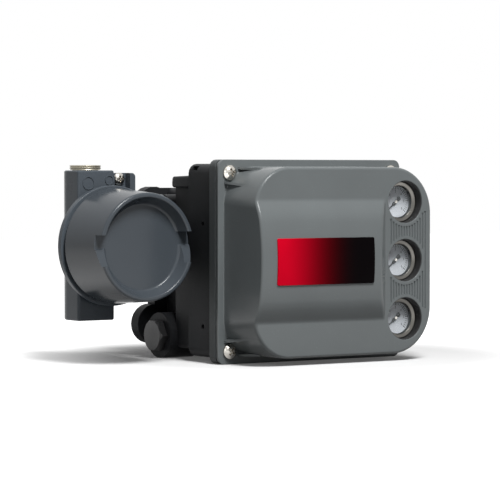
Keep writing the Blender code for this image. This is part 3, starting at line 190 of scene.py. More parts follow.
CAST_RINGS = ((-145.8, 56.9, 4.6), (-128.1, 59.1, 3.3))
CAST_SECTION = ((-0.5, 0.2), (-0.3, -0.5), (0.3, -0.5), (0.5, 0.2))

# Threads, pipe ports and conduit plug
THREAD_CREST = 0.28
SPIGOT_TURNS = 4.0
PORT_LEVELS = (36.0, 0.0, -36.0)
PORT_Y = -37.0
PORT_HOLE = 6.6
PORT_PITCH = 1.34
PORT_TURNS = 8.0
PORT_START = 3
ENTRY_PITCH = 1.81
ENTRY_TURNS = 9.0
PLUG_SHANK = 9.8
PLUG_SOCKET = 4.6
PLUG_SEAT = PLUG.top - 3.5
PLUG_RIDGE = ((0.3, 0.1), (0, 0.35), (0, 0.7), (0.3, 0.95), (0.75, 1.1), (0.75, 1.3))
PLUG_RIDGE_PITCH = 1.5

# Gauges: the case's rear as steps inwards and backwards, and half of a needle's outline
GAUGE_BORE = 13.0
GAUGE_SIGHT = 11.9
BEZEL_PROUD = 1.0
CASE_REAR = ((0, 3.2), (0.5, 3.6), (0.5, 5.0), (0, 5.4), (0, 22.0), (2.0, 24.0))
CASE_PIPE = 5.0
NEEDLE = [(10.4, 0.14), (4.2, 0.5), (3.4, 1.15), (1.9, 1.3), (-1.5, 0.8), (-2.6, 1.5), (-4.4, 1.55),
          (-4.9, 0.9)]
NEEDLE_THICK = 0.5
ZERO = 220
SWEEP = 260
SCALE_RADIUS = 10.4
FIGURE_RADIUS = 7.6
MARK = (0.9, 0.16)

# Facets and clean-up
FINE = 128
ROUND = 64
CORNER = 24
BEND = 6
WELD = 0.003
FLAT_ANGLE = 0.4
SHORT_EDGE = 0.2
ROUNDED_FROM = 35
SHARP_FROM = 40


# Outlines, in millimetres

def arc(centre, radius, start, end, steps):
    """Points of an arc between two angles in degrees, both ends included."""
    points = []
    for step in range(steps + 1):
        angle = math.radians(start + (end - start) * step / steps)
        points.append((centre[0] + radius * math.cos(angle), centre[1] + radius * math.sin(angle)))
    return points


def circle(centre, radius, steps=ROUND):
    """A closed circle of points."""
    return arc(centre, radius, 0, 360 * (steps - 1) / steps, steps - 1)


def rounded(left, right, bottom, top, radii, steps=CORNER):
    """A rectangle with round corners: one radius, or four from the lower left anticlockwise."""
    if not isinstance(radii, tuple):
        radii = (radii,) * 4
    low_left, low_right, up_right, up_left = radii
    return (arc((left + low_left, bottom + low_left), low_left, 180, 270, steps)
            + arc((right - low_right, bottom + low_right), low_right, 270, 360, steps)
            + arc((right - up_right, top - up_right), up_right, 0, 90, steps)
            + arc((left + up_left, top - up_left), up_left, 90, 180, steps))


def drawn_in(span, inset, radius, steps=CORNER):
    """A node's round-cornered outline seen from the front, drawn in by a distance."""
    return rounded(span.left + inset, span.right - inset, span.bottom + inset, span.top - inset,
                   radius - inset, steps)


def divided(outline, steps):
    """Add points along the four straight sides of a rounded rectangle."""
    quarter = len(outline) // 4
    points = []
    for side in range(4):
        points += outline[side * quarter:(side + 1) * quarter]
        start, end = points[-1], outline[(side + 1) * quarter % len(outline)]
        points += [tuple(a + (b - a) * step / steps for a, b in zip(start, end)) for step in range(1, steps)]
    return points


def eased(points):
    """A line of (across, along, radius) points, each inner bend rounded to its own radius."""
    line = []
    for index, (across, along, radius) in enumerate(points):
        if not radius:
            line.append((across, along))
            continue
        here = Vector((across, along))
        before = (Vector(points[index - 1][:2]) - here).normalized()
        after = (Vector(points[index + 1][:2]) - here).normalized()
        half = before.angle(after) / 2
        centre = here + (before + after).normalized() * (radius / math.sin(half))
        start = here + before * (radius / math.tan(half)) - centre
        sweep = start.angle_signed(here + after * (radius / math.tan(half)) - centre)
        for step in range(BEND + 1):
            turn = Matrix.Rotation(-sweep * step / BEND, 2)
            line.append(tuple(centre + turn @ start))
    return line


def bends():
    """The angles of a quarter turn."""
    return [math.radians(90 * step / BEND) for step in range(BEND + 1)]


def edged(low, high, edge, outline, ends=(True, True)):
    """Sections between two stations, drawn in to a round edge at the ends that are marked."""
    insets = [(edge * (1 - math.sin(turn)), edge * (1 - math.cos(turn))) for turn in bends()]
    start = [(low + along, outline(inset)) for along, inset in reversed(insets)]
    end = [(high - along, outline(inset)) for along, inset in insets]
    return (start if ends[0] else [(low, outline(0))]) + (end if ends[1] else [(high, outline(0))])


# Solids, in millimetres

def placed(name, data):
    """An object in the scene that holds the given data."""
    thing = bpy.data.objects.new(name, data)
    bpy.context.scene.collection.objects.link(thing)
    return thing


def reshape(mesh, change):
    """Change a mesh through bmesh."""
    shape = bmesh.new()
    shape.from_mesh(mesh)
    change(shape)
    shape.to_mesh(mesh)
    shape.free()
    return mesh


def outwards(shape):
    """Turn every face of a bmesh outwards."""
    bmesh.ops.recalc_face_normals(shape, faces=shape.faces)


def moved(piece, place, turn=Matrix()):
    """Turn a piece's mesh about the origin, then shift it by millimetres."""
    piece.data.transform(Matrix.Translation([value * MM for value in place]) @ turn)
    return piece


def turned_by(degrees, axis):
    """A turn about an axis."""
    return Matrix.Rotation(math.radians(degrees), 4, axis)


def to_space(axis, pair, station):
    """Put a point of an outline at a station along X, Y or Z."""
    first, second = pair
    return {"X": (station, first, second), "Y": (first, station, second), "Z": (first, second, station)}[axis]


def new_piece(name, vertices, faces=()):
    """Make an object from millimetre points, with its faces turned outwards."""
    def build(shape):
        made = [shape.verts.new([value * MM for value in point]) for point in vertices]
        for face in faces:
            shape.faces.new([made[index] for index in face])
        outwards(shape)
    return placed(name, reshape(bpy.data.meshes.new(name), build))


def skin_faces(count, levels, looped=False):
    """Faces between rings of equal length."""
    faces = []
    for level in range(levels if looped else levels - 1):
        base = level * count
        above = (level + 1) % levels * count
        for index in range(count):
            after = (index + 1) % count
            faces.append([base + index, base + after, above + after, above + index])
    return faces


def loft(name, rings, looped=False):
    """A skin through rings of equal length, filled at both ends, or looped from end to start."""
    count = len(rings[0])
    vertices = [point for ring in rings for point in ring]
    faces = skin_faces(count, len(rings), looped)
    if not looped:
        faces += [list(range(count)), list(range(len(vertices) - count, len(vertices)))]
    return new_piece(name, vertices, faces)


def faced(name, rings, inside=(), height=None):
    """A skin through rings, with triangles over its front ring and over points inside it at a height."""
    count = len(rings[0])
    vertices = [point for ring in rings for point in ring]
    first = len(vertices) - count
    faces = skin_faces(count, len(rings)) + [list(range(count))]
    flat = [Vector((point[0], point[2])) for point in rings[-1]] + list(inside)
    made = geometry.delaunay_2d_cdt(flat, [], [list(range(count))], 1, 1e-5, True)
    lookup = []
    for point, sources in zip(made[0], made[3]):
        if min(sources) < count:
            lookup.append(first + min(sources))
        else:
            lookup.append(len(vertices))
            vertices.append((point.x, height(point), point.y))
    faces += [[lookup[index] for index in face] for face in made[2]]
    return new_piece(name, vertices, faces)


def stack(name, sections, axis="Y"):
    """A skin through (station, outline) sections along an axis."""
    return loft(name, [[to_space(axis, pair, station) for pair in outline] for station, outline in sections])


def prism(name, outline, axis, start, end):
    """An outline pushed along an axis between two stations."""
    return stack(name, [(start, outline), (end, outline)], axis)


def rod(name, centre, radius, axis, start, end, steps=ROUND):
    """A plain cylinder."""
    return prism(name, circle(centre, radius, steps), axis, start, end)


def turned(name, profile, centre, axis="Y", steps=FINE, looped=False):
    """A profile of (radius, station) turned about an axis."""
    rings = [[to_space(axis, pair, station) for pair in circle(centre, radius, steps)]
             for radius, station in profile]
    return loft(name, rings, looped)


def combine(target, tools, operation):
    """Join tools to a solid or cut them from it, and keep the result as its mesh."""
    for tool in tools:
        modifier = target.modifiers.new(operation.lower(), "BOOLEAN")
        modifier.operation = operation
        modifier.solver = "EXACT"
        modifier.object = tool
        settle(target)
        bpy.data.objects.remove(tool)
    return target


def settle(piece):
    """Turn a piece's modifiers into its mesh."""
    evaluated = piece.evaluated_get(bpy.context.evaluated_depsgraph_get())
    mesh = bpy.data.meshes.new_from_object(evaluated)
    piece.modifiers.clear()
    piece.data = mesh
    mesh.name = piece.name
    return piece


def join(target, *tools):
    """Unite solids with a target."""
    return combine(target, tools, "UNION")


def cut(target, *tools):
    """Cut solids out of a target."""
    return combine(target, tools, "DIFFERENCE")


def soften(piece, width, segments=2):
    """Clean flat faces, round the sharp edges and mark the rounding, which the coats lighten partly as wear
    and partly as painted highlight.

    The width is the most they get: one very short edge clamps the rounding of the whole piece.
    """
    def rub(shape):
        bmesh.ops.remove_doubles(shape, verts=shape.verts, dist=WELD * MM)
        bmesh.ops.dissolve_limit(shape, angle_limit=math.radians(FLAT_ANGLE), verts=shape.verts,
                                 edges=shape.edges)
        limit = math.radians(ROUNDED_FROM)
        edges = [edge for edge in shape.edges if len(edge.link_faces) == 2
                 and edge.calc_face_angle() > limit and edge.calc_length() > width * MM * SHORT_EDGE]
        # The mark lightens these edges in the coats: partly wear, partly painted highlight.
        wear = shape.faces.layers.float.new("wear")
        rounding = bmesh.ops.bevel(shape, geom=edges, offset=width * MM, offset_type="OFFSET",
                                   segments=segments, profile=0.5, affect="EDGES", clamp_overlap=True)
        for face in rounding["faces"]:
            face[wear] = 1.0
    reshape(piece.data, rub)
    return piece


def dress(piece, coat, slot, *nodes, body=BODY):
    """Give a piece its coat and smooth faces, and set it on its body in place of CAD nodes."""
    piece.data.materials.clear()
    piece.data.materials.append(coats()[coat])
    piece.data.shade_smooth()
    piece.data.set_sharp_from_angle(angle=math.radians(SHARP_FROM))
    weigh = piece.modifiers.new("weigh", "WEIGHTED_NORMAL")
    weigh.keep_sharp = True
    settle(piece)
    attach(piece, body)
    if nodes:
        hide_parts(*nodes)
    return piece


def spun(name, profile, centre, coat, slot, *nodes, steps=ROUND, looped=True, body=BODY):
    """A piece turned about an axis along Y, with its coat."""
    return dress(turned(name, profile, centre, "Y", steps, looped), coat, slot, *nodes, body=body)


# Node trees

def arithmetic(operation, swapped=False):
    """A method of Socket that adds one Math node, its two values swapped in a reflected form."""
    return lambda socket, other: socket.maths(operation, other, swapped=swapped)


class Socket:
    """An output in a node tree; arithmetic on it adds Math nodes."""

    def __init__(self, web, link):
        self.web = web
        self.link = link

    def maths(self, operation, *others, swapped=False):
        """One Math node fed with this socket and others."""
        parts = [self, *others]
        if swapped:
            parts.reverse()
        return self.web.node("ShaderNodeMath", {"operation": operation}, dict(enumerate(parts)))

    __add__ = arithmetic("ADD")
    __radd__ = arithmetic("ADD", True)
    __sub__ = arithmetic("SUBTRACT")
    __rsub__ = arithmetic("SUBTRACT", True)
    __mul__ = arithmetic("MULTIPLY")
    __rmul__ = arithmetic("MULTIPLY", True)
    __truediv__ = arithmetic("DIVIDE")
    __mod__ = arithmetic("MODULO")
    __lt__ = arithmetic("LESS_THAN")


class Web:
    """A node tree, with one method that adds any node."""

    def __init__(self, tree):
        self.tree = tree

    def node(self, kind, settings=None, inputs=None, output=0):
        """Add a node: its settings first, then the values or links of its sockets."""
        made = self.tree.nodes.new(kind)
        for name, value in (settings or {}).items():
            setattr(made, name, value)
        for name, value in (inputs or {}).items():
            for part in value if isinstance(value, list) else [value]:
                if isinstance(part, Socket):
                    self.tree.links.new(part.link, made.inputs[name])
                else:
                    made.inputs[name].default_value = part
        return Socket(self, made.outputs[output])

    def mix(self, factor, first, second):
        """A colour between two others."""
        return self.node("ShaderNodeMix", {"data_type": "RGBA"}, {0: factor, 6: first, 7: second}, 2)


class Coat(Web):
    """A material: its tree, the place on the piece that it reads, and its shader's constants."""

    def __init__(self, name, constants=None):
        self.material = bpy.data.materials.new(name)
        self.material.use_nodes = True
        super().__init__(self.material.node_tree)
        self.shader = self.tree.nodes["Principled BSDF"]
        for socket, value in (constants or {}).items():
            self.shader.inputs[socket].default_value = value
        self.place = self.node("ShaderNodeTexCoord", output=3)

    def feed(self, tint=None, gloss=None, normal=None, alpha=None):
        """Link what varies over the surface to the shader."""
        for socket, value in (("Base Color", tint), ("Roughness", gloss), ("Normal", normal),
                              ("Alpha", alpha)):
            if value:
                self.tree.links.new(value.link, self.shader.inputs[socket])
        return self.material

    def noise(self, scale, detail=2.0, roughness=0.5):
        """Soft noise over the piece, about 0.5 in the middle."""
        return self.node("ShaderNodeTexNoise", {}, {"Vector": self.place, "Scale": scale, "Detail": detail,
                                                    "Roughness": roughness})

    def cells(self, scale):
        """Distance to the nearest of scattered points."""
        return self.node("ShaderNodeTexVoronoi", {}, {"Vector": self.place, "Scale": scale})

    def step(self, value, low, high):
        """0 below low, 1 above high, smooth between."""
        return self.node("ShaderNodeMapRange", {"interpolation_type": "SMOOTHSTEP"},
                         {"Value": value, "From Min": low, "From Max": high})

    def bump(self, height, distance):
        """A normal raised by a height."""
        return self.node("ShaderNodeBump", {}, {"Strength": 1.0, "Distance": distance, "Height": height})

    def worn(self):
        """1 on the rounded edges of a softened piece, where the coats paint wear and highlight."""
        return self.node("ShaderNodeAttribute", {"attribute_name": "wear"}, output=2)

    def across(self):
        """The place on the piece along X, in metres."""
        return self.node("ShaderNodeSeparateXYZ", {}, {0: self.place})


def shade(tint, share=1.0):
    """A colour made lighter or darker by a share, as a shader takes it."""
    return (*[min(1.0, part * share) for part in tint], 1.0)


# Materials

def powder_coat(name, tint, roughness, peel=0.00005, rub=1.45, sheen=0.28):
    """Baked powder paint on a casting: orange peel, slight clouding, specks, and edges lightened partly as
    wear and partly as painted highlight.
    """
    coat = Coat(name, {"Specular IOR Level": sheen})
    cloud = coat.noise(26.0, 3.0)
    fine = coat.noise(1300.0)
    fleck = coat.step(coat.cells(380.0), 0.05, 0.13)
    colour_now = coat.mix(cloud, shade(tint, 0.92), shade(tint, 1.08))
    colour_now = coat.mix(fleck, shade(tint, 1.25), colour_now)
    # Painted highlight and wear: rounded edges are lightened in patches, partly for rubbing and partly to
    # stand for the highlights along them.
    rubbed_and_highlit = coat.worn() * coat.step(coat.noise(140.0, 3.0), 0.3, 0.62)
    colour_now = coat.mix(rubbed_and_highlit, colour_now, shade(tint, rub))
    gloss = roughness + (cloud - 0.5) * 0.12 + (fine - 0.5) * 0.1 - rubbed_and_highlit * 0.08
    return coat.feed(colour_now, gloss, coat.bump(fine + coat.noise(390.0) * 0.8, peel))


def bright_metal(name, tint, roughness, tarnish=0.82):
    """Turned or plated metal: fine scratches, and tarnish in patches."""
    coat = Coat(name, {"Metallic": 1.0})
    cloud = coat.noise(70.0)
    scratch = coat.noise(2600.0, 4.0, 0.7)
    colour_now = coat.mix(coat.step(cloud, 0.3, 0.8), shade(tint), shade(tint, tarnish))
    gloss = roughness + (cloud - 0.5) * 0.12 + (scratch - 0.5) * 0.08
    return coat.feed(colour_now, gloss, coat.bump(scratch, 0.000008))


def moulded(name, tint, roughness):
    """Moulded plastic or rubber: spark-eroded grain and a faint bloom."""
    coat = Coat(name)
    bloom = coat.noise(60.0, 3.0)
    colour_now = coat.mix(coat.step(bloom, 0.4, 0.8), shade(tint), shade(tint, 1.35))
    return coat.feed(colour_now, roughness + (bloom - 0.5) * 0.16, coat.bump(coat.noise(1900.0), 0.00004))


def label_film(name, left_tint, right_tint):
    """Printed film: one colour runs into the other from left to right under a satin laminate."""
    coat = Coat(name, {"Specular IOR Level": 0.02})
    share = (coat.across() / MM - LABEL.left) / LABEL.size.x
    rest = 1.0 - coat.step(share + (coat.noise(9.0) - 0.5) * 0.04, 0.03, 0.98)
    grain = coat.noise(3200.0, 1.0)
    colour_now = coat.mix(rest * rest * rest, shade(right_tint), shade(left_tint))
    return coat.feed(colour_now, 0.45 + (grain - 0.5) * 0.1, coat.bump(grain, 0.000008))


def dial_enamel(name, tint):
    """A white enamelled dial, a little cloudy."""
    coat = Coat(name)
    cloud = coat.noise(220.0)
    return coat.feed(coat.mix(cloud, shade(tint, 0.9), shade(tint, 1.05)), 0.42 + (cloud - 0.5) * 0.12)


def window_glass(name):
    """Clear flat glass: mostly let through, with a faint smear."""
    coat = Coat(name, {"Base Color": (0.7, 0.78, 0.82, 1.0), "IOR": 1.5})
    smear = coat.noise(90.0, 3.0)
    return coat.feed(gloss=0.05 + smear * 0.04, alpha=0.05 + coat.step(smear, 0.5, 0.8) * 0.05)


def linear(red, green, blue):
    """A screen colour of 0 to 255 as the linear colour that a shader takes."""
    return tuple((part / 255 / 12.92) if part <= 10 else ((part / 255 + 0.055) / 1.055) ** 2.4
                 for part in (red, green, blue))


# Properties

def number(name, description, value, unit="NONE"):
    """A property that holds one number."""
    return bpy.props.FloatProperty(name=name, description=description, default=value, unit=unit, precision=5)


def length(name, description, value):
    """A length property, given in millimetres."""
    return number(name, description, value * MM, "LENGTH")


def colour(name, description, *value):
    """A colour property, given as a screen colour."""
    return bpy.props.FloatVectorProperty(name=name, description=description, default=linear(*value),
                                         size=3, subtype="COLOR", min=0.0, max=1.0)


class PositionerSizes(bpy.types.PropertyGroup):
    """Sizes of the fine surfaces."""

    rim_round: length("Panel edge", "Radius of the edge between the cover's wall and front", 2.2)
    crown: length("Crown", "How far the raised face curves back at its upper and lower edges", 3.0)
    face_bend: length("Face bend", "Height over which the slopes run into the raised face", 2.2)
    root_bend: length("Foot bend", "Height over which the slopes run into the panel", 0.9)
    wall: length("Cover wall", "Thickness of the moulded cover", 3.2)
    cast_round: length("Cast edge", "Most that the castings' edges are rounded", 0.6)
    moulded_round: length("Moulded edge", "Most that the cover's small edges are rounded", 0.3)
    window_round: length("Window edge", "Rounding of the gauge windows", 0.5)
    groove_width: length("Groove width", "Width of a groove between the gauges", 1.2)
    groove_depth: length("Groove depth", "Depth of a groove between the gauges", 0.9)
    groove_pitch: length("Groove pitch", "Distance from groove to groove", 2.44)
    groove_reach: length("Groove reach", "How far grooves run above and below the middle gauge", 36.0)
    thread_pitch: length("Thread pitch", "Pitch of the cap's thread", 2.0)
    figure: length("Dial figures", "Height of the figures on the dials", 2.6)
    groove_count: bpy.props.IntProperty(name="Grooves", description="Grooves across the gauge strip",
                                        default=14, min=1)
    marks: bpy.props.IntProperty(name="Scale marks", description="Marks on each dial", default=31, min=2)


class PositionerColours(bpy.types.PropertyGroup):
    """Colours of the finishes."""

    # The module base takes this grey darkened to half, as painted shade.
    cover: colour("Cover", "Grey powder coat of cover and base", 107, 112, 113)
    # Painted shade: the housing wears the cover's grey paint, darkened here to stand for the deep shade it
    # sits in.
    housing: colour("Housing", "Dark coat of the rear casting", 38, 39, 41)
    # Painted light and shade: cap and box share one paint; this tint is darkened as painted shade of the
    # cap's dished face, and the box takes it 1.3 times lighter as painted light.
    cap: colour("Cap", "Blue-grey coat of the terminal box and its cap", 70, 76, 82)
    # The gauge cases take this steel darkened to a fifth, as painted shade.
    steel: colour("Steel", "Plated screws and gauge cases", 226, 222, 214)
    plug: colour("Plug", "Light metal of the conduit plug", 214, 208, 190)
    rubber: colour("Rubber", "Seals", 22, 22, 23)
    label_left: colour("Label, left", "Left end of the label", 216, 6, 38)
    label_right: colour("Label, right", "Right end of the label", 4, 2, 3)
    dial: colour("Dial", "Face of the gauges", 238, 242, 248)
    black: colour("Black", "Pointers, figures and black plastic", 20, 20, 22)


class PositionerStudio(bpy.types.PropertyGroup):
    """Camera, lamps and floor."""

    heading: number("Heading", "Camera's turn from straight ahead", math.radians(34.204), "ROTATION")
    dip: number("Dip", "How far the camera looks down", math.radians(1.705), "ROTATION")
    lens: number("Lens", "Focal length", 187.4, "CAMERA")
    stand: bpy.props.FloatVectorProperty(name="Stand", description="Where the camera stands",
                                         default=(-1.1153, -1.6809, 0.0646), subtype="TRANSLATION")
    key: number("Key lamp", "Power of the lamp at the upper front", 27.0, "POWER")
    side: number("Side lamp", "Power of the lamp at the left", 1.0, "POWER")
    ambient: number("Ambient", "Light from all round", 0.06)


def sizes():
    """The size properties by name, with lengths in millimetres."""
    held = bpy.context.scene.positioner_sizes
    values = {name: getattr(held, name) for name in PositionerSizes.__annotations__}
    return {name: value / MM if isinstance(value, float) else value for name, value in values.items()}


FINISHES = {}


def coats():
    """Every finish by name, made once."""
    if not FINISHES:
        held = bpy.context.scene.positioner_colours
        FINISHES.update({
            "cover": powder_coat("cover_coat", held.cover, 0.24, 0.00002, sheen=0.24),
            # Painted shade: the module base is the cover's paint at half its lightness, standing for the
            # shade on its flanks.
            "base": powder_coat("base_coat", shade(held.cover, 0.5)[:3], 0.4, sheen=0.12),
            # Painted shade: the housing's dark coat stands for the shade on the cover's grey paint.
            "housing": powder_coat("housing_coat", held.housing, 0.5, 0.00007, sheen=0.1),
            # Painted light: the box is the cap's paint made 1.3 times lighter, with its edges lightened as
            # wear and painted highlight.
            "box": powder_coat("box_coat", shade(held.cap, 1.3)[:3], 0.3, 0.00004, 1.6, 0.16),
            # Painted shade: the cap's darkened paint, with its rounded edges lightened to twice as wear and
            # painted highlight.
            "cap": powder_coat("cap_coat", held.cap, 0.2, 0.000015, 2.0, 0.26),
            # Painted shade: the bezels are the screws' plated steel darkened to a fifth, which dims the
            # reflection they show.
            "bezel": bright_metal("bezel_steel", shade(held.steel, 0.2)[:3], 0.3, 0.7),
            "steel": bright_metal("plated_steel", shade(held.steel, 0.8)[:3], 0.22),
            "aluminium": bright_metal("cast_aluminium", linear(176, 178, 180), 0.42),
            "plug": bright_metal("plug_metal", shade(held.plug, 0.62)[:3], 0.4, 0.8),
            "rubber": moulded("seal_rubber", held.rubber, 0.7),
            "black": moulded("black_plastic", held.black, 0.45),
            "grey": moulded("grey_plastic", linear(122, 126, 128), 0.5),
            "ivory": moulded("ivory_plastic", linear(206, 200, 178), 0.48),
            "ink": moulded("black_ink", held.black, 0.5),
            "label": label_film("label_film", held.label_left, held.label_right),
            "dial": dial_enamel("dial_enamel", held.dial),
            "glass": window_glass("window_glass"),
        })
    return FINISHES


# The coat of each of the record's material slots, for the CAD nodes that stay
SLOT_COATS = {"casting": "cover", "cover_casting": "cover", "dark_casting": "housing", "cap_casting": "cap",
              "rubber": "rubber", "stainless": "steel", "zinc": "plug", "label": "label", "dial": "dial",
              "pointer": "ink", "lens": "glass", "aluminium": "aluminium", "black_plastic": "black",
              "grey_plastic": "grey", "ivory_plastic": "ivory"}


# Geometry Nodes

class GrowWeb(Web):
    """A Geometry Nodes tree with named inputs."""

    def __init__(self, name, inputs):
        super().__init__(bpy.data.node_groups.new(name, "GeometryNodeTree"))
        face = self.tree.interface
        face.new_socket("Geometry", in_out="OUTPUT", socket_type="NodeSocketGeometry")
        for label, kind in {**inputs, "Material": "Material"}.items():
            face.new_socket(label, in_out="INPUT", socket_type=f"NodeSocket{kind}")
        self.inlet = self.tree.nodes.new("NodeGroupInput")

    def given(self, name):
        """One of the tree's inputs."""
        return Socket(self, self.inlet.outputs[name])

    def vector(self, *parts):
        """A vector of three numbers or sockets."""
        return self.node("ShaderNodeCombineXYZ", {}, dict(enumerate(parts)))

    def thing(self, name):
        """The geometry of an object given to the tree."""
        return self.node("GeometryNodeObjectInfo", {}, {"Object": self.given(name)}, "Geometry")

    def row(self, place):
        """As many points as the tree's count, each at its place."""
        line = self.node("GeometryNodeMeshLine", {}, {"Count": self.given("Count")})
        return self.node("GeometryNodeSetPosition", {}, {"Geometry": line, "Position": place})

    def strewn(self, points, instance, **more):
        """A geometry on every point."""
        return self.node("GeometryNodeInstanceOnPoints", {}, {"Points": points, "Instance": instance, **more})

    def close(self, shape):
        """Realize the shape, give it the tree's material and end the tree."""
        solid = self.node("GeometryNodeRealizeInstances", {}, {"Geometry": shape})
        coated = self.node("GeometryNodeSetMaterial", {}, {"Geometry": solid,
                                                           "Material": self.given("Material")})
        outlet = self.tree.nodes.new("NodeGroupOutput")
        self.tree.links.new(coated.link, outlet.inputs[0])
        return self

    def grow(self, name, values, *used):
        """Run the tree with its inputs set by identifier, and keep the result as a plain mesh."""
        piece = placed(name, bpy.data.meshes.new(name))
        modifier = piece.modifiers.new("grow", "NODES")
        modifier.node_group = self.tree
        for socket in self.tree.interface.items_tree:
            if socket.in_out == "INPUT" and socket.name in values:
                modifier[socket.identifier] = values[socket.name]
        settle(piece)
        for thing in used:
            bpy.data.objects.remove(thing)
        reshape(piece.data, outwards)
        return piece


def groove_web():
    """Upright bars side by side, each ending at the plain rings round the gauges."""
    web = GrowWeb("Groove bars", {"Bar": "Object", "Count": "Int", "Pitch": "Float", "Start": "Float",
                                  "Centre": "Float", "Depth": "Float", "Reach": "Float",
                                  "Gauge Pitch": "Float", "Ring": "Float"})
    across = web.given("Start") - web.node("GeometryNodeInputIndex") * web.given("Pitch")
    beside = across - web.given("Centre")
    hidden = (web.given("Ring") * web.given("Ring") - beside * beside).maths("MAXIMUM", 0.0).maths("SQRT")
    high = web.given("Reach").maths("MINIMUM", web.given("Gauge Pitch") - hidden)
    halves = [web.strewn(web.row(web.vector(across, web.given("Depth"), (hidden + high) * (side / 2))),
                         web.thing("Bar"), Scale=web.vector(1.0, 1.0, high - hidden)) for side in (1.0, -1.0)]
    return web.close(web.node("GeometryNodeJoinGeometry", {}, {0: halves}))


def screw_web():
    """One screw at every given place, each turned by a seeded chance and scaled."""
    web = GrowWeb("Screw set", {"Screw": "Object", "Places": "Object", "Scale": "Float", "Seed": "Int"})
    turn = web.node("FunctionNodeRandomValue", {"data_type": "FLOAT"},
                    {"Min": 0.0, "Max": 2 * math.pi, "Seed": web.given("Seed")}, 1)
    return web.close(web.strewn(web.thing("Places"), web.thing("Screw"), Rotation=web.vector(0.0, turn, 0.0),
                                Scale=web.given("Scale")))


def scale_web():
    """Marks round every gauge, each fifth one longer and wider."""
    web = GrowWeb("Scale marks", {"Mark": "Object", "Places": "Object", "Count": "Int", "Sweep": "Float",
                                  "Start": "Float", "Radius": "Float", "Long": "Float"})
    order = web.node("GeometryNodeInputIndex")
    angle = web.given("Start") - order * web.given("Sweep") / (web.given("Count") - 1.0)
    place = web.vector(angle.maths("COSINE") * web.given("Radius"), 0.0,
                       angle.maths("SINE") * web.given("Radius"))
    stretch = (order % 5.0 < 0.5) * (web.given("Long") - 1.0) + 1.0
    ring = web.strewn(web.row(place), web.thing("Mark"), Rotation=web.vector(0.0, angle * -1.0, 0.0),
                      Scale=web.vector(stretch, 1.0, stretch))
    return web.close(web.strewn(web.thing("Places"), ring))


def thread_web():
    """A ridge that winds round the Z axis: radius, pitch, turns and height of its crest."""
    web = GrowWeb("Thread", {"Radius": "Float", "Pitch": "Float", "Turns": "Float", "Crest": "Float"})
    spiral = web.node("GeometryNodeCurveSpiral", {}, {
        "Resolution": 96, "Rotations": web.given("Turns"), "Start Radius": web.given("Radius"),
        "End Radius": web.given("Radius"), "Height": web.given("Turns") * web.given("Pitch")})
    profile = web.node("GeometryNodeCurvePrimitiveCircle", {},
                       {"Resolution": 6, "Radius": web.given("Crest")})
    return web.close(web.node("GeometryNodeCurveToMesh", {}, {
        "Curve": spiral, "Profile Curve": profile, "Fill Caps": True}))


# Cover

def dome(inset, corners):
    """The dome's outline drawn in by a distance, with its left and right corner radii."""
    left, right = corners
    return rounded(DOME_LEFT + inset, DOME_RIGHT - inset, DOME_BOTTOM + inset, DOME_TOP - inset,
                   (left, right, right, left))


def least(first, second, blend):
    """The smaller of two heights, with a soft join."""
    overlap = max(blend - abs(first - second), 0.0)
    return min(first, second) - overlap * overlap / (4 * blend)


def relief(across, level, held):
    """Height of the cover's front over its panel: three slopes up to a slightly crowned face."""
    off = abs(level - BULGE_CENTRE)
    face = BULGE_RISE - held["crown"] * (off / (BULGE_HALF - BULGE_SLOPE)) ** 2
    side = (BULGE_HALF - off) * (BULGE_RISE - held["crown"] * 0.6) / BULGE_SLOPE
    end = (BULGE_END - across) * BULGE_RISE / BULGE_RUN
    height = least(face, least(side, end, held["face_bend"]), held["face_bend"])
    return -least(-height, 0.0, held["root_bend"])


def clearance(across, level):
    """How far a point lies inside the panel's outline."""
    radius = PANEL_CORNERS[0] if across < 0 else PANEL_CORNERS[1]
    beside = min(across - DOME_LEFT, DOME_RIGHT - across)
    above = min(level - DOME_BOTTOM, DOME_TOP - level)
    if beside < radius and above < radius:
        return radius - math.hypot(radius - beside, radius - above)
    return min(beside, above)


def spaced(*runs):
    """Stations in runs of (start, end, step)."""
    return [start + (end - start) * place / round((end - start) / step)
            for start, end, step in runs for place in range(round((end - start) / step))]


def inner_points(rim):
    """Points of the cover's front inside its rim, closer together where it bends."""
    foot, head = BULGE_HALF, BULGE_HALF - BULGE_SLOPE
    offs = spaced((0, head - 8, 3.7), (head - 8, head + 4, 1.0), (head + 4, foot - 2, 2.5),
                  (foot - 2, foot + 2, 0.5), (foot + 2, DOME_TOP - BULGE_CENTRE, 5.0))
    bend = BULGE_END - BULGE_RUN - 8
    columns = spaced((DOME_LEFT, bend, 8.0), (bend, BULGE_END - 6, 1.0), (BULGE_END - 6, BULGE_END + 2, 0.5),
                     (BULGE_END + 2, DOME_RIGHT, 5.0))
    levels = [BULGE_CENTRE + off for off in offs] + [BULGE_CENTRE - off for off in offs[1:]]
    return [Vector((across, level)) for across in columns for level in levels
            if clearance(across, level) > rim + RIM_CLEAR]


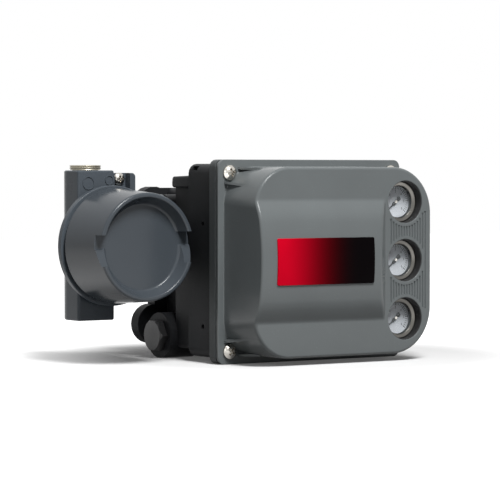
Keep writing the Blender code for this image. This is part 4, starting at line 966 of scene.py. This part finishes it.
def cover_skin(held):
    """The outer form as one skin: walls whose corners open, a round rim, and the relief in front."""
    rim = held["rim_round"]

    def ring(inset, corners, station, raised=0):
        return [(across, station - relief(across, level, held) * raised, level)
                for across, level in divided(dome(inset, [corner - inset for corner in corners]), SIDE_STEPS)]
    rings = [ring(-ROOT_FILLET, BASE_CORNERS, Y_FLANGE + 1)]
    rings += [ring(-ROOT_FILLET * (1 - math.sin(bend)), BASE_CORNERS,
                   Y_FLANGE - ROOT_FILLET * (1 - math.cos(bend))) for bend in bends()]
    start, end = Y_FLANGE - ROOT_FILLET, Y_PANEL + rim + RIM_TURN
    for step in range(1, WALL_STEPS + 1):
        share = step / WALL_STEPS
        corners = [base + (panel - base) * share for base, panel in zip(BASE_CORNERS, PANEL_CORNERS)]
        rings.append(ring(0, corners, start + (end - start) * share))
    rings += [ring(rim * (1 - math.cos(bend)), PANEL_CORNERS, Y_PANEL + rim * (1 - math.sin(bend)), 1)
              for bend in bends()]
    return faced("cover_shell", rings, inner_points(rim),
                 lambda point: Y_PANEL - relief(point.x, point.y, held))


def bulge_hollow(wall):
    """The space behind the raised centre."""
    rings = []
    for station, inward in ((Y_PANEL + wall + BULGE_ROOT, 0.0), (Y_PANEL + wall, 0.0),
                            (Y_PANEL + wall - BULGE_RISE + BULGE_SKIN, BULGE_SLOPE)):
        half = BULGE_HALF - wall - inward
        end = BULGE_END - wall - inward * BULGE_RUN / BULGE_SLOPE
        rings.append((station, rounded(DOME_LEFT + wall + 1, end, BULGE_CENTRE - half, BULGE_CENTRE + half,
                                       HOLLOW_CORNER, BEND)))
    return stack("bulge_hollow", rings)


def corner_rib(side, level, start, drop, lean, run, rise):
    """A thin rib from the flange up to a rounded corner; it leans inwards as it nears the dome."""
    wall = (-DOME_LEFT if side < 0 else DOME_RIGHT - RIB_SHIFT) - start
    top = DOME_TOP - drop
    profile = [(0, Y_FLANGE + 1), (0, Y_FLANGE - RIB_TOE), (run, Y_FLANGE - rise),
               (run + RIB_ROOT, Y_FLANGE - rise), (run + RIB_ROOT, Y_FLANGE + 1)]
    return loft("rib", [[(side * (wall - along), station, level * (top - lean * along + half))
                         for along, station in profile] for half in (-RIB / 2, RIB / 2)])


def groove_cutter(held):
    """Every groove of the gauge strip as one cutter with flared mouths."""
    half = held["groove_width"] / 2
    mouth = half + GROOVE_LIP
    side = [(half * 0.6, held["groove_depth"]), (half, GROOVE_LIP), (mouth, 0), (mouth, -1)]
    outline = side + [(-across, along) for across, along in reversed(side)]
    bar = prism("groove_bar", outline, "Z", -0.5 / MM, 0.5 / MM)
    return groove_web().grow("grooves", {
        "Bar": bar, "Count": held["groove_count"], "Pitch": held["groove_pitch"] * MM,
        "Start": (COVER.right - GROOVE_EDGE - half) * MM, "Centre": CASES[0].middle.x * MM,
        "Depth": Y_PANEL * MM, "Reach": held["groove_reach"] * MM,
        "Gauge Pitch": abs(CASES[0].middle.z - CASES[1].middle.z) * MM,
        "Ring": (WINDOW + PLAIN_RING) * MM}, bar)


def window_cutter(case, held):
    """A gauge window with a rounded mouth."""
    mouth = held["window_round"]
    return turned("window", eased([(WINDOW + mouth, Y_PANEL - 1, 0), (WINDOW + mouth, Y_PANEL, 0),
                                   (WINDOW, Y_PANEL + 0.01, mouth * 0.9),
                                   (WINDOW, Y_PANEL + COLLAR_DEPTH + 1, 0)]), case.axis)


class POSITIONER_OT_cover(bpy.types.Operator):
    """Make the moulded cover with its raised centre, corner ribs, gauge windows and grooves"""

    bl_idname = "positioner.cover"
    bl_label = "Front cover"

    def execute(self, context):
        held = sizes()
        wall = held["wall"]
        cover = cover_skin(held)
        flange = edged(Y_FLANGE, Y_SEAL, FLANGE_EDGE, lambda inset: drawn_in(COVER, inset, FLANGE_RADIUS),
                       (True, False))
        join(cover, stack("flange", flange))
        for side in (-1, 1):
            for level in (-1, 1):
                join(cover, *[corner_rib(side, level, *rib) for rib in RIBS])
        hollow = stack("hollow", [
            (Y_SEAL + 1, dome(wall, INNER_CORNERS)),
            (Y_PANEL + wall, dome(wall, [corner - wall for corner in PANEL_CORNERS]))])
        join(hollow, bulge_hollow(wall))
        for case in CASES:
            cut(hollow, rod("collar", case.axis, WINDOW + COLLAR_WALL, "Y", Y_PANEL, Y_PANEL + COLLAR_DEPTH))
        cut(cover, hollow, groove_cutter(held), *[window_cutter(case, held) for case in CASES])
        for screw in COVER_SCREWS:
            cut(cover, rod("screw_hole", Span(screw).axis, SCREW_HOLE, "Y", Y_FLANGE - 1, Y_SEAL + 1,
                           ROUND // 2))
        soften(cover, held["moulded_round"])
        dress(cover, "cover", "cover_casting", "front_cover")
        return {"FINISHED"}


class POSITIONER_OT_castings(bpy.types.Operator):
    """Make the housing, module base, seal and vent plug from their solids"""

    bl_idname = "positioner.castings"
    bl_label = "Housing and base"

    def execute(self, context):
        cast = sizes()["cast_round"]
        for node, width, coat, slot in (("housing", cast, "housing", "dark_casting"),
                                        ("module_base", cast, "base", "cover_casting"),
                                        ("cover_seal", 0.25, "rubber", "rubber"),
                                        ("vent_plug", 0.4, "black", "black_plastic")):
            piece = placed(f"{node}_fine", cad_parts[node].data.copy())
            dress(soften(piece, width), coat, slot, node)
        return {"FINISHED"}


# Terminal box

def column_outline(inset):
    """The conduit column from above: flat front with soft corners, round back."""
    radius = COLUMN_RADIUS - inset
    front, soft = COLUMN_FRONT + inset, COLUMN_SOFT - inset
    return (arc((COLUMN[0] - radius + soft, front + soft), soft, 180, 270, BEND)
            + arc((COLUMN[0] + radius - soft, front + soft), soft, 270, 360, BEND)
            + arc(COLUMN, radius, 0, 180, CORNER))


def ear_outline(inset):
    """The block that carries the earth screw."""
    return rounded(COLUMN[0] + inset, EAR_RIGHT - inset, CAP.middle.z + inset, EAR_TOP - inset, 3 - inset)


def lug_outline(inset):
    """The lug of the neck's screw, from the side."""
    top = LUG - inset - 0.01
    return rounded(NECK[0] - LUG + inset, NECK[0] + LUG - inset, NECK[1], LUG_LEVEL + LUG - inset,
                   (1.0, 1.0, top, top))


def box_barrel():
    """The turned part: spigot, flange and tapering barrel."""
    return turned("terminal_box_fine", eased([
        (SPIGOT - 1.0, BOX.front, 0), (SPIGOT, BOX.front + 1.0, 0), (SPIGOT, BOX_FACE, 0.5),
        (BOX_FLANGE, BOX_FACE, 0.7), (BOX_FLANGE, BOX_FACE + 5.0, 1.0),
        (BOX_FLANGE - 4.0, BOX_FACE + 5.4, 1.5), (*BARREL_END, 3.0), (6.0, BARREL_END[1], 0)]), CAP.axis)


def box_neck():
    """The neck with its round flange and the lug of its screw."""
    neck = turned("neck", eased([(NECK_RADIUS, CAP.middle.x, 0), (NECK_RADIUS, NECK_START, 3.0),
                                 (NECK_FLANGE, NECK_START, 0.8), (NECK_FLANGE, BOX.right, 0)]), NECK, "X")
    return join(neck, stack("lug", edged(NECK_START, BOX.right, 0.8, lug_outline, (True, False)), "X"))


class POSITIONER_OT_terminal_box(bpy.types.Operator):
    """Make the terminal box casting, with two plain cast rings on its column"""

    bl_idname = "positioner.terminal_box"
    bl_label = "Terminal box"

    def execute(self, context):
        column = stack("column", edged(BOX.bottom, BOX.top, COLUMN_EDGE, column_outline), "Z")
        ear = stack("ear_block", edged(COLUMN_FRONT + 2.0, COLUMN[1] + 6.0, EAR_EDGE, ear_outline))
        box = join(box_barrel(), column, ear, box_neck())
        cut(box, rod("bore", CAP.axis, BOX_BORE, "Y", BOX.front - 1, BOX_LEDGE, FINE),
            rod("pocket", CAP.axis, BOX_POCKET, "Y", BOX_LEDGE - 1, BOX_FLOOR, FINE),
            prism("earth_pocket", rounded(COLUMN[0] + COLUMN_RADIUS + 1.2, EAR_RIGHT - 5.0, EAR_POCKET,
                                          EAR_TOP + 4.0, 1.0, BEND), "Y", COLUMN_FRONT - 1, EARTH_FLOOR),
            *[rod("earth_hole", centre, EARTH_HOLE, "Y", seat - 1, seat + EARTH_DEPTH, CORNER)
              for centre, seat in ((EARTH.axis, EARTH_FLOOR), (INNER_EARTH, BOX_LEDGE))],
            rod("top_entry", COLUMN, CONDUIT, "Z", BOX.top - CONDUIT_TOP, BOX.top + 1),
            turned("low_entry", [(CONDUIT + 2.0, BOX.bottom - 1), (CONDUIT, BOX.bottom + 1.0),
                                 (CONDUIT, BOX.bottom + CONDUIT_LOW)], COLUMN, "Z", ROUND),
            rod("neck_screw_hole", (NECK[0], LUG_LEVEL), NECK_HOLE, "X", NECK_START - 1, BOX.right + 1))
        soften(box, 0.4)
        dress(box, "box", "dark_casting", "terminal_box")
        for order, (across, level, radius) in enumerate(CAST_RINGS, 1):
            spun(f"cast_ring_{order}", [(radius + out, COLUMN_FRONT + along) for out, along in CAST_SECTION],
                 (across, level), "box", "dark_casting")
        return {"FINISHED"}


# Terminal box cap, threads and screws

def wrench_notch(floor):
    """The slot through both sides of the cap's rim, stepped below and ramped to the face above."""
    front = CAP.front - 1
    bed = floor - 0.02
    outline = [(front, NOTCH_LOW), (floor - NOTCH_STEP, NOTCH_LOW), (floor - NOTCH_RAMP_RISE, -NOTCH_RAMP),
               (bed, NOTCH_RAMP), (bed, NOTCH_HIGH), (front, NOTCH_HIGH)]
    notch = prism("notch", outline, "X", -CAP_RADIUS - 4, CAP_RADIUS + 4)
    return moved(notch, (CAP.middle.x, 0, CAP.middle.z), turned_by(-NOTCH_TILT, "Y"))


class POSITIONER_OT_cap(bpy.types.Operator):
    """Make the screwed cap with its dished face and wrench notches, and its ring"""

    bl_idname = "positioner.cap"
    bl_label = "Terminal box cap"

    def execute(self, context):
        front = CAP_RADIUS - CAP_TAPER
        disc = front - CAP_LIP
        rim = front - CAP_RIM
        floor = CAP.front + CAP_RECESS
        inside = floor + CAP_DISC
        cap = turned("terminal_box_cap_fine", eased([
            (disc - CAP_FLAT, floor, 0), (disc, floor, 2.4), (rim + 0.3, CAP.front, 1.5),
            (front, CAP.front, 1.9), (CAP_RADIUS, CAP.back, 0.5), (SKIRT + 0.6, CAP.back, 0),
            (SKIRT, CAP.back - 0.6, 0), (SKIRT, CAP.back - SPIGOT_LENGTH - THREAD_RELIEF, 0),
            (disc, inside + CAP_COVE, 0), (disc - CAP_COVE, inside, 0)]), CAP.axis)
        set_screw_hole = rod("set_screw_hole", (CAP.middle.x, CAP.back - 6), SET_SCREW_HOLE, "Z",
                             CAP.middle.z - CAP_RADIUS - 1, CAP.middle.z - SKIRT + 1, ROUND // 2)
        cut(cap, wrench_notch(floor), set_screw_hole)
        soften(cap, 0.5, segments=3)
        dress(cap, "cap", "cap_casting", "terminal_box_cap", body="cap")
        thick = RING.size.y / 2
        section = circle((RING.size.x / 2 - thick, RING.middle.y), thick, 12)
        spun("cap_oring_fine", section, CAP.axis, "rubber", "rubber", "cap_oring", steps=FINE,
             body="cap_seal")
        return {"FINISHED"}


class POSITIONER_OT_threads(bpy.types.Operator):
    """Wind the threads of the cap's spigot, the pipe ports and the lower conduit entry"""

    bl_idname = "positioner.threads"
    bl_label = "Threads"

    def execute(self, context):
        web = thread_web()
        pitch = sizes()["thread_pitch"]
        start = CAP.back - SPIGOT_LENGTH + 1.5
        jobs = [("spigot_thread", SPIGOT, pitch, SPIGOT_TURNS, "cap", "cap_casting", turned_by(90, "X"),
                 (CAP.middle.x, start + SPIGOT_TURNS * pitch, CAP.middle.z))]
        port_end = HOUSING.right - PORT_START - PORT_TURNS * PORT_PITCH
        for order, level in enumerate(PORT_LEVELS, 1):
            jobs.append((f"port_thread_{order}", PORT_HOLE, PORT_PITCH, PORT_TURNS, "housing",
                         "dark_casting", turned_by(90, "Y"), (port_end, PORT_Y, level)))
        jobs.append(("entry_thread", PLUG_SHANK, ENTRY_PITCH, ENTRY_TURNS, "cap", "dark_casting", Matrix(),
                     (*COLUMN, BOX.bottom + 1.5)))
        for name, radius, step, turns, coat, slot, turn, place in jobs:
            thread = web.grow(name, {"Radius": radius * MM, "Pitch": step * MM, "Turns": turns,
                                     "Crest": THREAD_CREST * MM})
            dress(moved(thread, place, turn), coat, slot)
        return {"FINISHED"}


def screw_pattern(head, rise, shank, reach):
    """A pan-head screw with a cross recess, its seat at the origin and its shank along Y."""
    screw = turned("screw_pattern", eased([
        (0.4, -rise, 0), (head * 0.62, -rise * 0.98, 4), (head, -rise * 0.35, 0.5), (head, 0, 0),
        (shank, 0, 0.0), (shank, reach, 0)]), (0, 0), "Y", ROUND // 2)
    for turn in (0, 90):
        slot = loft("slot", [[(across * wide, station, level * deep)
                              for across, level in ((-1, -1), (1, -1), (1, 1), (-1, 1))]
                             for station, wide, deep in ((-rise - 1, head * 0.66, head * 0.17),
                                                         (-rise * 0.2, head * 0.4, head * 0.12))])
        cut(screw, moved(slot, (0, 0, 0), turned_by(turn, "Y")))
    return soften(screw, 0.12)


class POSITIONER_OT_screws(bpy.types.Operator):
    """Set the cross-head screws of the cover and of the earth terminal"""

    bl_idname = "positioner.screws"
    bl_label = "Screws"

    def execute(self, context):
        web = screw_web()
        for name, nodes, seed, scale in (("cover_screws", COVER_SCREWS, 4, 1.15),
                                         ("earth_screw", ["earth_screw_outer"], 2, 1.2)):
            spans = [Span(node) for node in nodes]
            head = spans[0].size.x / 2
            rise = 3.2 * head / 4.8
            pattern = screw_pattern(head, rise, head * 0.54, spans[0].size.y - rise)
            places = new_piece("places", [to_space("Y", span.axis, span.front + rise) for span in spans])
            screws = web.grow(name, {"Screw": pattern, "Places": places, "Scale": scale, "Seed": seed},
                              pattern, places)
            dress(screws, "steel", "stainless", *nodes)
        return {"FINISHED"}


# Label, gauges and plug

class POSITIONER_OT_label(bpy.types.Operator):
    """Make the coloured label, bent to the cover's crown"""

    bl_idname = "positioner.label"
    bl_label = "Label"

    def execute(self, context):
        crown = sizes()["crown"]
        half = BULGE_HALF - BULGE_SLOPE
        rings = [[(across, station + crown * ((level - BULGE_CENTRE) / half) ** 2, level)
                  for across, level in divided(drawn_in(LABEL, inset, 1.2, BEND), 16)]
                 for station, inset in ((LABEL.back + 0.4, 0.0), (LABEL.front + 0.25, 0.0),
                                        (LABEL.front + 0.07, 0.07), (LABEL.front, 0.25))]
        dress(faced("label_fine", rings), "label", "label", "label_plate")
        return {"FINISHED"}


def text_mesh(text):
    """The mesh of a line of text."""
    thing = placed("figure", text)
    mesh = bpy.data.meshes.new_from_object(thing.evaluated_get(bpy.context.evaluated_depsgraph_get()))
    bpy.data.objects.remove(thing)
    return mesh


class POSITIONER_OT_gauges(bpy.types.Operator):
    """Make the gauges' cases, dials, scales, pointers and glasses"""

    bl_idname = "positioner.gauges"
    bl_label = "Gauges"

    def execute(self, context):
        for order, (case, dial, lens) in enumerate(zip(CASES, DIALS, LENSES), 1):
            outer = case.size.x / 2
            bezel = case.front - BEZEL_PROUD
            body = eased([
                (GAUGE_BORE, dial.back + GAP, 0), (GAUGE_BORE, lens.back + GAP, 0),
                (GAUGE_BORE, lens.front - GAP, 0), (GAUGE_SIGHT, lens.front - GAP, 0),
                (GAUGE_SIGHT + 0.3, lens.front - 0.7, 0.2), (outer - 0.6, bezel, 0.6),
                (outer, bezel + 0.3, 0.4)]
                + [(outer - inward, case.front + along, 0) for inward, along in CASE_REAR]
                + [(CASE_PIPE, case.front + CASE_REAR[-1][1], 0), (CASE_PIPE, case.back, 0)])
            spun(f"gauge_case_{order}_fine", body, case.axis, "bezel", "stainless", f"gauge_case_{order}",
                 steps=FINE, looped=False)
            edge = dial.size.x / 2
            spun(f"gauge_dial_{order}_fine", [
                (0.8, dial.front), (edge - 0.4, dial.front), (edge, dial.front + 0.15), (edge, dial.back),
                (0.8, dial.back)], case.axis, "dial", "dial", f"gauge_dial_{order}")
            edge = lens.size.x / 2
            spun(f"gauge_lens_{order}_fine", eased([
                (1.0, lens.front, 0), (edge, lens.front, 0.3), (edge, lens.back, 0.3), (1.0, lens.back, 0)]),
                case.axis, "glass", "lens", f"gauge_lens_{order}", looped=False)
            spun(f"gauge_gasket_{order}", [
                (GAUGE_SIGHT - 0.5, lens.back + GAP), (GAUGE_SIGHT - 0.3, lens.back + 1.0),
                (GAUGE_BORE - GAP, lens.back + 1.0), (GAUGE_BORE - GAP, lens.back + GAP)],
                case.axis, "rubber", "rubber")
            # Painted shade: a black rubber sleeve lines each window's wall so that it reads as dark as the
            # shade inside the window.
            inner, outer = WINDOW - 0.45, WINDOW - 0.05
            spun(f"gauge_sleeve_{order}", [
                (inner, Y_PANEL + 1.0), (outer, Y_PANEL + 0.8), (outer, case.front + 0.6),
                (inner, case.front + 0.6)], case.axis, "rubber", "rubber")
            self.make_pointer(order, case.axis)
        self.make_scale()
        return {"FINISHED"}

    def make_pointer(self, order, centre):
        """The needle with its broad root and tail, and its bright hub."""
        back = DIALS[0].front - GAP
        front = back - NEEDLE_THICK
        outline = NEEDLE + [(across, -rise) for across, rise in reversed(NEEDLE)]
        turn = math.radians(ZERO)
        pointed = [(centre[0] + across * math.cos(turn) - rise * math.sin(turn),
                    centre[1] + across * math.sin(turn) + rise * math.cos(turn)) for across, rise in outline]
        needle = soften(prism(f"gauge_pointer_{order}_fine", pointed, "Y", front, back), 0.1)
        dress(needle, "ink", "pointer", f"gauge_pointer_{order}", body=f"pointer_{order}")
        spun(f"gauge_hub_{order}", eased([
            (0.3, front - 0.5, 0), (1.2, front - 0.5, 0.3), (1.3, front, 0), (0.5, front, 0),
            (0.5, back + GAP + 0.6, 0)]), centre, "steel", "pointer", steps=ROUND // 2, looped=False,
            body=f"pointer_{order}")

    def make_scale(self):
        """The marks and figures printed on the dials."""
        held = sizes()
        front = DIALS[0].front - 0.04
        places = new_piece("places", [to_space("Y", dial.axis, front) for dial in DIALS])
        long, wide = MARK
        mark = prism("mark", [(-long, -wide), (long, -wide), (long, wide), (-long, wide)], "Y", 0.0, 0.1)
        scale = scale_web().grow("gauge_scales", {
            "Mark": mark, "Places": places, "Count": held["marks"], "Sweep": math.radians(SWEEP),
            "Start": math.radians(ZERO), "Radius": SCALE_RADIUS * MM, "Long": 1.4}, mark, places)
        majors = (held["marks"] - 1) // 5

        def add_figures(shape):
            for figure in range(majors + 1):
                angle = math.radians(ZERO - SWEEP * figure / majors)
                text = bpy.data.curves.new("figure", "FONT")
                text.body = str(figure)
                text.size = held["figure"] * MM
                text.extrude = 0.03 * MM
                text.align_x = text.align_y = "CENTER"
                flat = text_mesh(text)
                for dial in DIALS:
                    mesh = flat.copy()
                    place = Vector((dial.middle.x + FIGURE_RADIUS * math.cos(angle), front + 0.02,
                                    dial.middle.z + FIGURE_RADIUS * math.sin(angle))) * MM
                    mesh.transform(Matrix.Translation(place) @ turned_by(90, "X"))
                    shape.from_mesh(mesh)
        reshape(scale.data, add_figures)
        dress(scale, "ink", "dial")


class POSITIONER_OT_plug(bpy.types.Operator):
    """Make the conduit plug with its ridged head and hexagon socket"""

    bl_idname = "positioner.plug"
    bl_label = "Conduit plug"

    def execute(self, context):
        head = PLUG.size.x / 2
        profile = [(head - 3.6, PLUG.top - 2.2), (head - 3.2, PLUG.top - 0.2), (head - 2.9, PLUG.top),
                   (head - 1.0, PLUG.top)]
        for ridge in range(2):
            start = PLUG.top - 0.1 - ridge * PLUG_RIDGE_PITCH
            profile += [(head - inward, start - down) for inward, down in PLUG_RIDGE]
        shank = PLUG_SHANK - GAP
        profile += [(head - 0.3, PLUG_SEAT), (shank, PLUG_SEAT), (shank, PLUG.bottom)]
        plug = turned("conduit_plug_fine", profile, COLUMN, "Z")
        cut(plug, prism("socket", circle(COLUMN, PLUG_SOCKET, 6), "Z", PLUG.top - 7.0, PLUG.top + 1))
        dress(soften(plug, 0.2), "plug", "zinc", "conduit_plug")
        return {"FINISHED"}


class POSITIONER_OT_works(bpy.types.Operator):
    """Give every CAD node that stays the coat of its material slot"""

    bl_idname = "positioner.works"
    bl_label = "Works"

    def execute(self, context):
        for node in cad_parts.values():
            for slot in node.material_slots:
                slot.material = coats()[SLOT_COATS[slot.material.name.split(".")[0]]]
        return {"FINISHED"}


# Studio: a lamp's place in metres and size, the floor's half width, and its fade to white
AIM = Vector((-0.02, -0.08, 0.0))
KEY = ((-0.2, -0.99, 1.19), 0.5)
SIDE = ((-1.2, -0.7, 0.4), 0.5)
FLOOR_HALF = 3000
FLOOR_DEPTH = 20
SHADOW_CENTRE = (0.02, -0.08, BASE.bottom * MM)
SHADOW_FADE = (0.12, 0.27)


def make_lamp(name, place, size, power):
    """A square soft lamp aimed at the middle of the part."""
    data = bpy.data.lights.new(name, "AREA")
    data.size = size
    data.energy = power
    lamp = placed(name, data)
    lamp.location = place
    lamp.rotation_euler = (AIM - Vector(place)).to_track_quat("-Z", "Y").to_euler()


def seen_directly(web):
    """1 for rays that show the background: camera, glossy and transmission."""
    path = web.node("ShaderNodeLightPath")
    camera, glossy, through = (Socket(web, path.link.node.outputs[name])
                               for name in ("Is Camera Ray", "Is Glossy Ray", "Is Transmission Ray"))
    return camera.maths("MAXIMUM", glossy).maths("MAXIMUM", through)


def make_world(ambient):
    """White where it is seen, and a plain soft light elsewhere."""
    world = bpy.data.worlds.new("studio")
    world.use_nodes = True
    bpy.context.scene.world = world
    web = Web(world.node_tree)
    back = world.node_tree.nodes["Background"]
    back.inputs["Color"].default_value = (1.0, 1.0, 1.0, 1.0)
    strength = ambient + seen_directly(web) * (1.0 - ambient)
    web.tree.links.new(strength.link, back.inputs["Strength"])


def make_floor():
    """A pale floor that is white where it is seen, apart from the part's soft shadow."""
    floor = prism("floor", [(-FLOOR_HALF, -FLOOR_HALF), (FLOOR_HALF, -FLOOR_HALF), (FLOOR_HALF, FLOOR_HALF),
                            (-FLOOR_HALF, FLOOR_HALF)], "Z", BASE.bottom - FLOOR_DEPTH, BASE.bottom - 0.05)
    coat = Coat("floor_paper", {"Roughness": 0.9, "Specular IOR Level": 0.1})
    seen = seen_directly(coat)
    paper = coat.mix(coat.noise(300.0), shade((0.84,) * 3), shade((0.86,) * 3))
    coat.feed(coat.mix(seen, shade((0.2,) * 3), paper))
    far = coat.step(coat.node("ShaderNodeVectorMath", {"operation": "DISTANCE"},
                              {0: coat.place, 1: SHADOW_CENTRE}, 1), *SHADOW_FADE)
    glow = coat.node("ShaderNodeEmission", {}, {"Color": (1.0, 1.0, 1.0, 1.0),
                                                "Strength": seen * (far * 0.92 + 0.08)})
    both = coat.node("ShaderNodeAddShader", {}, {0: Socket(coat, coat.shader.outputs[0]), 1: glow})
    coat.tree.links.new(both.link, coat.tree.nodes["Material Output"].inputs["Surface"])
    floor.data.materials.append(coat.material)


class POSITIONER_OT_studio(bpy.types.Operator):
    """Set the camera, lamps, world and floor"""

    bl_idname = "positioner.studio"
    bl_label = "Studio"

    def execute(self, context):
        held = context.scene.positioner_studio
        lens = bpy.data.cameras.new("camera")
        lens.lens = held.lens
        camera = placed("camera", lens)
        camera.location = held.stand
        camera.rotation_euler = (math.pi / 2 - held.dip, 0.0, -held.heading)
        context.scene.camera = camera
        context.scene.view_settings.view_transform = "Standard"
        make_lamp("key", *KEY, held.key)
        make_lamp("side", *SIDE, held.side)
        make_world(held.ambient)
        make_floor()
        return {"FINISHED"}


class POSITIONER_PT_sidebar(bpy.types.Panel):
    """Lists the sizes, colours and operators of the positioner"""

    bl_idname = "POSITIONER_PT_sidebar"
    bl_label = "Valve positioner"
    bl_space_type = "VIEW_3D"
    bl_region_type = "UI"
    bl_category = "Positioner"

    def draw(self, context):
        for group in GROUPS:
            held = getattr(context.scene, group)
            column = self.layout.column()
            for name in type(held).__annotations__:
                column.prop(held, name)
        for operator in OPERATORS:
            self.layout.operator(operator.bl_idname)


OPERATORS = (POSITIONER_OT_studio, POSITIONER_OT_works, POSITIONER_OT_castings, POSITIONER_OT_cover,
             POSITIONER_OT_label, POSITIONER_OT_gauges, POSITIONER_OT_screws, POSITIONER_OT_terminal_box,
             POSITIONER_OT_threads, POSITIONER_OT_plug, POSITIONER_OT_cap)
GROUPS = {"positioner_sizes": PositionerSizes, "positioner_colours": PositionerColours,
          "positioner_studio": PositionerStudio}


def register():
    """Add the classes, and the properties to the scene."""
    for kind in (*GROUPS.values(), *OPERATORS, POSITIONER_PT_sidebar):
        bpy.utils.register_class(kind)
    for name, group in GROUPS.items():
        setattr(bpy.types.Scene, name, bpy.props.PointerProperty(type=group))


def unregister():
    """Take the properties and classes away."""
    for name in GROUPS:
        delattr(bpy.types.Scene, name)
    for kind in (POSITIONER_PT_sidebar, *reversed(OPERATORS), *reversed(GROUPS.values())):
        bpy.utils.unregister_class(kind)


def main():
    """Make everything."""
    register()
    for operator in OPERATORS:
        getattr(bpy.ops.positioner, operator.bl_idname.split(".")[1])()


if __name__ == "__main__":
    main()
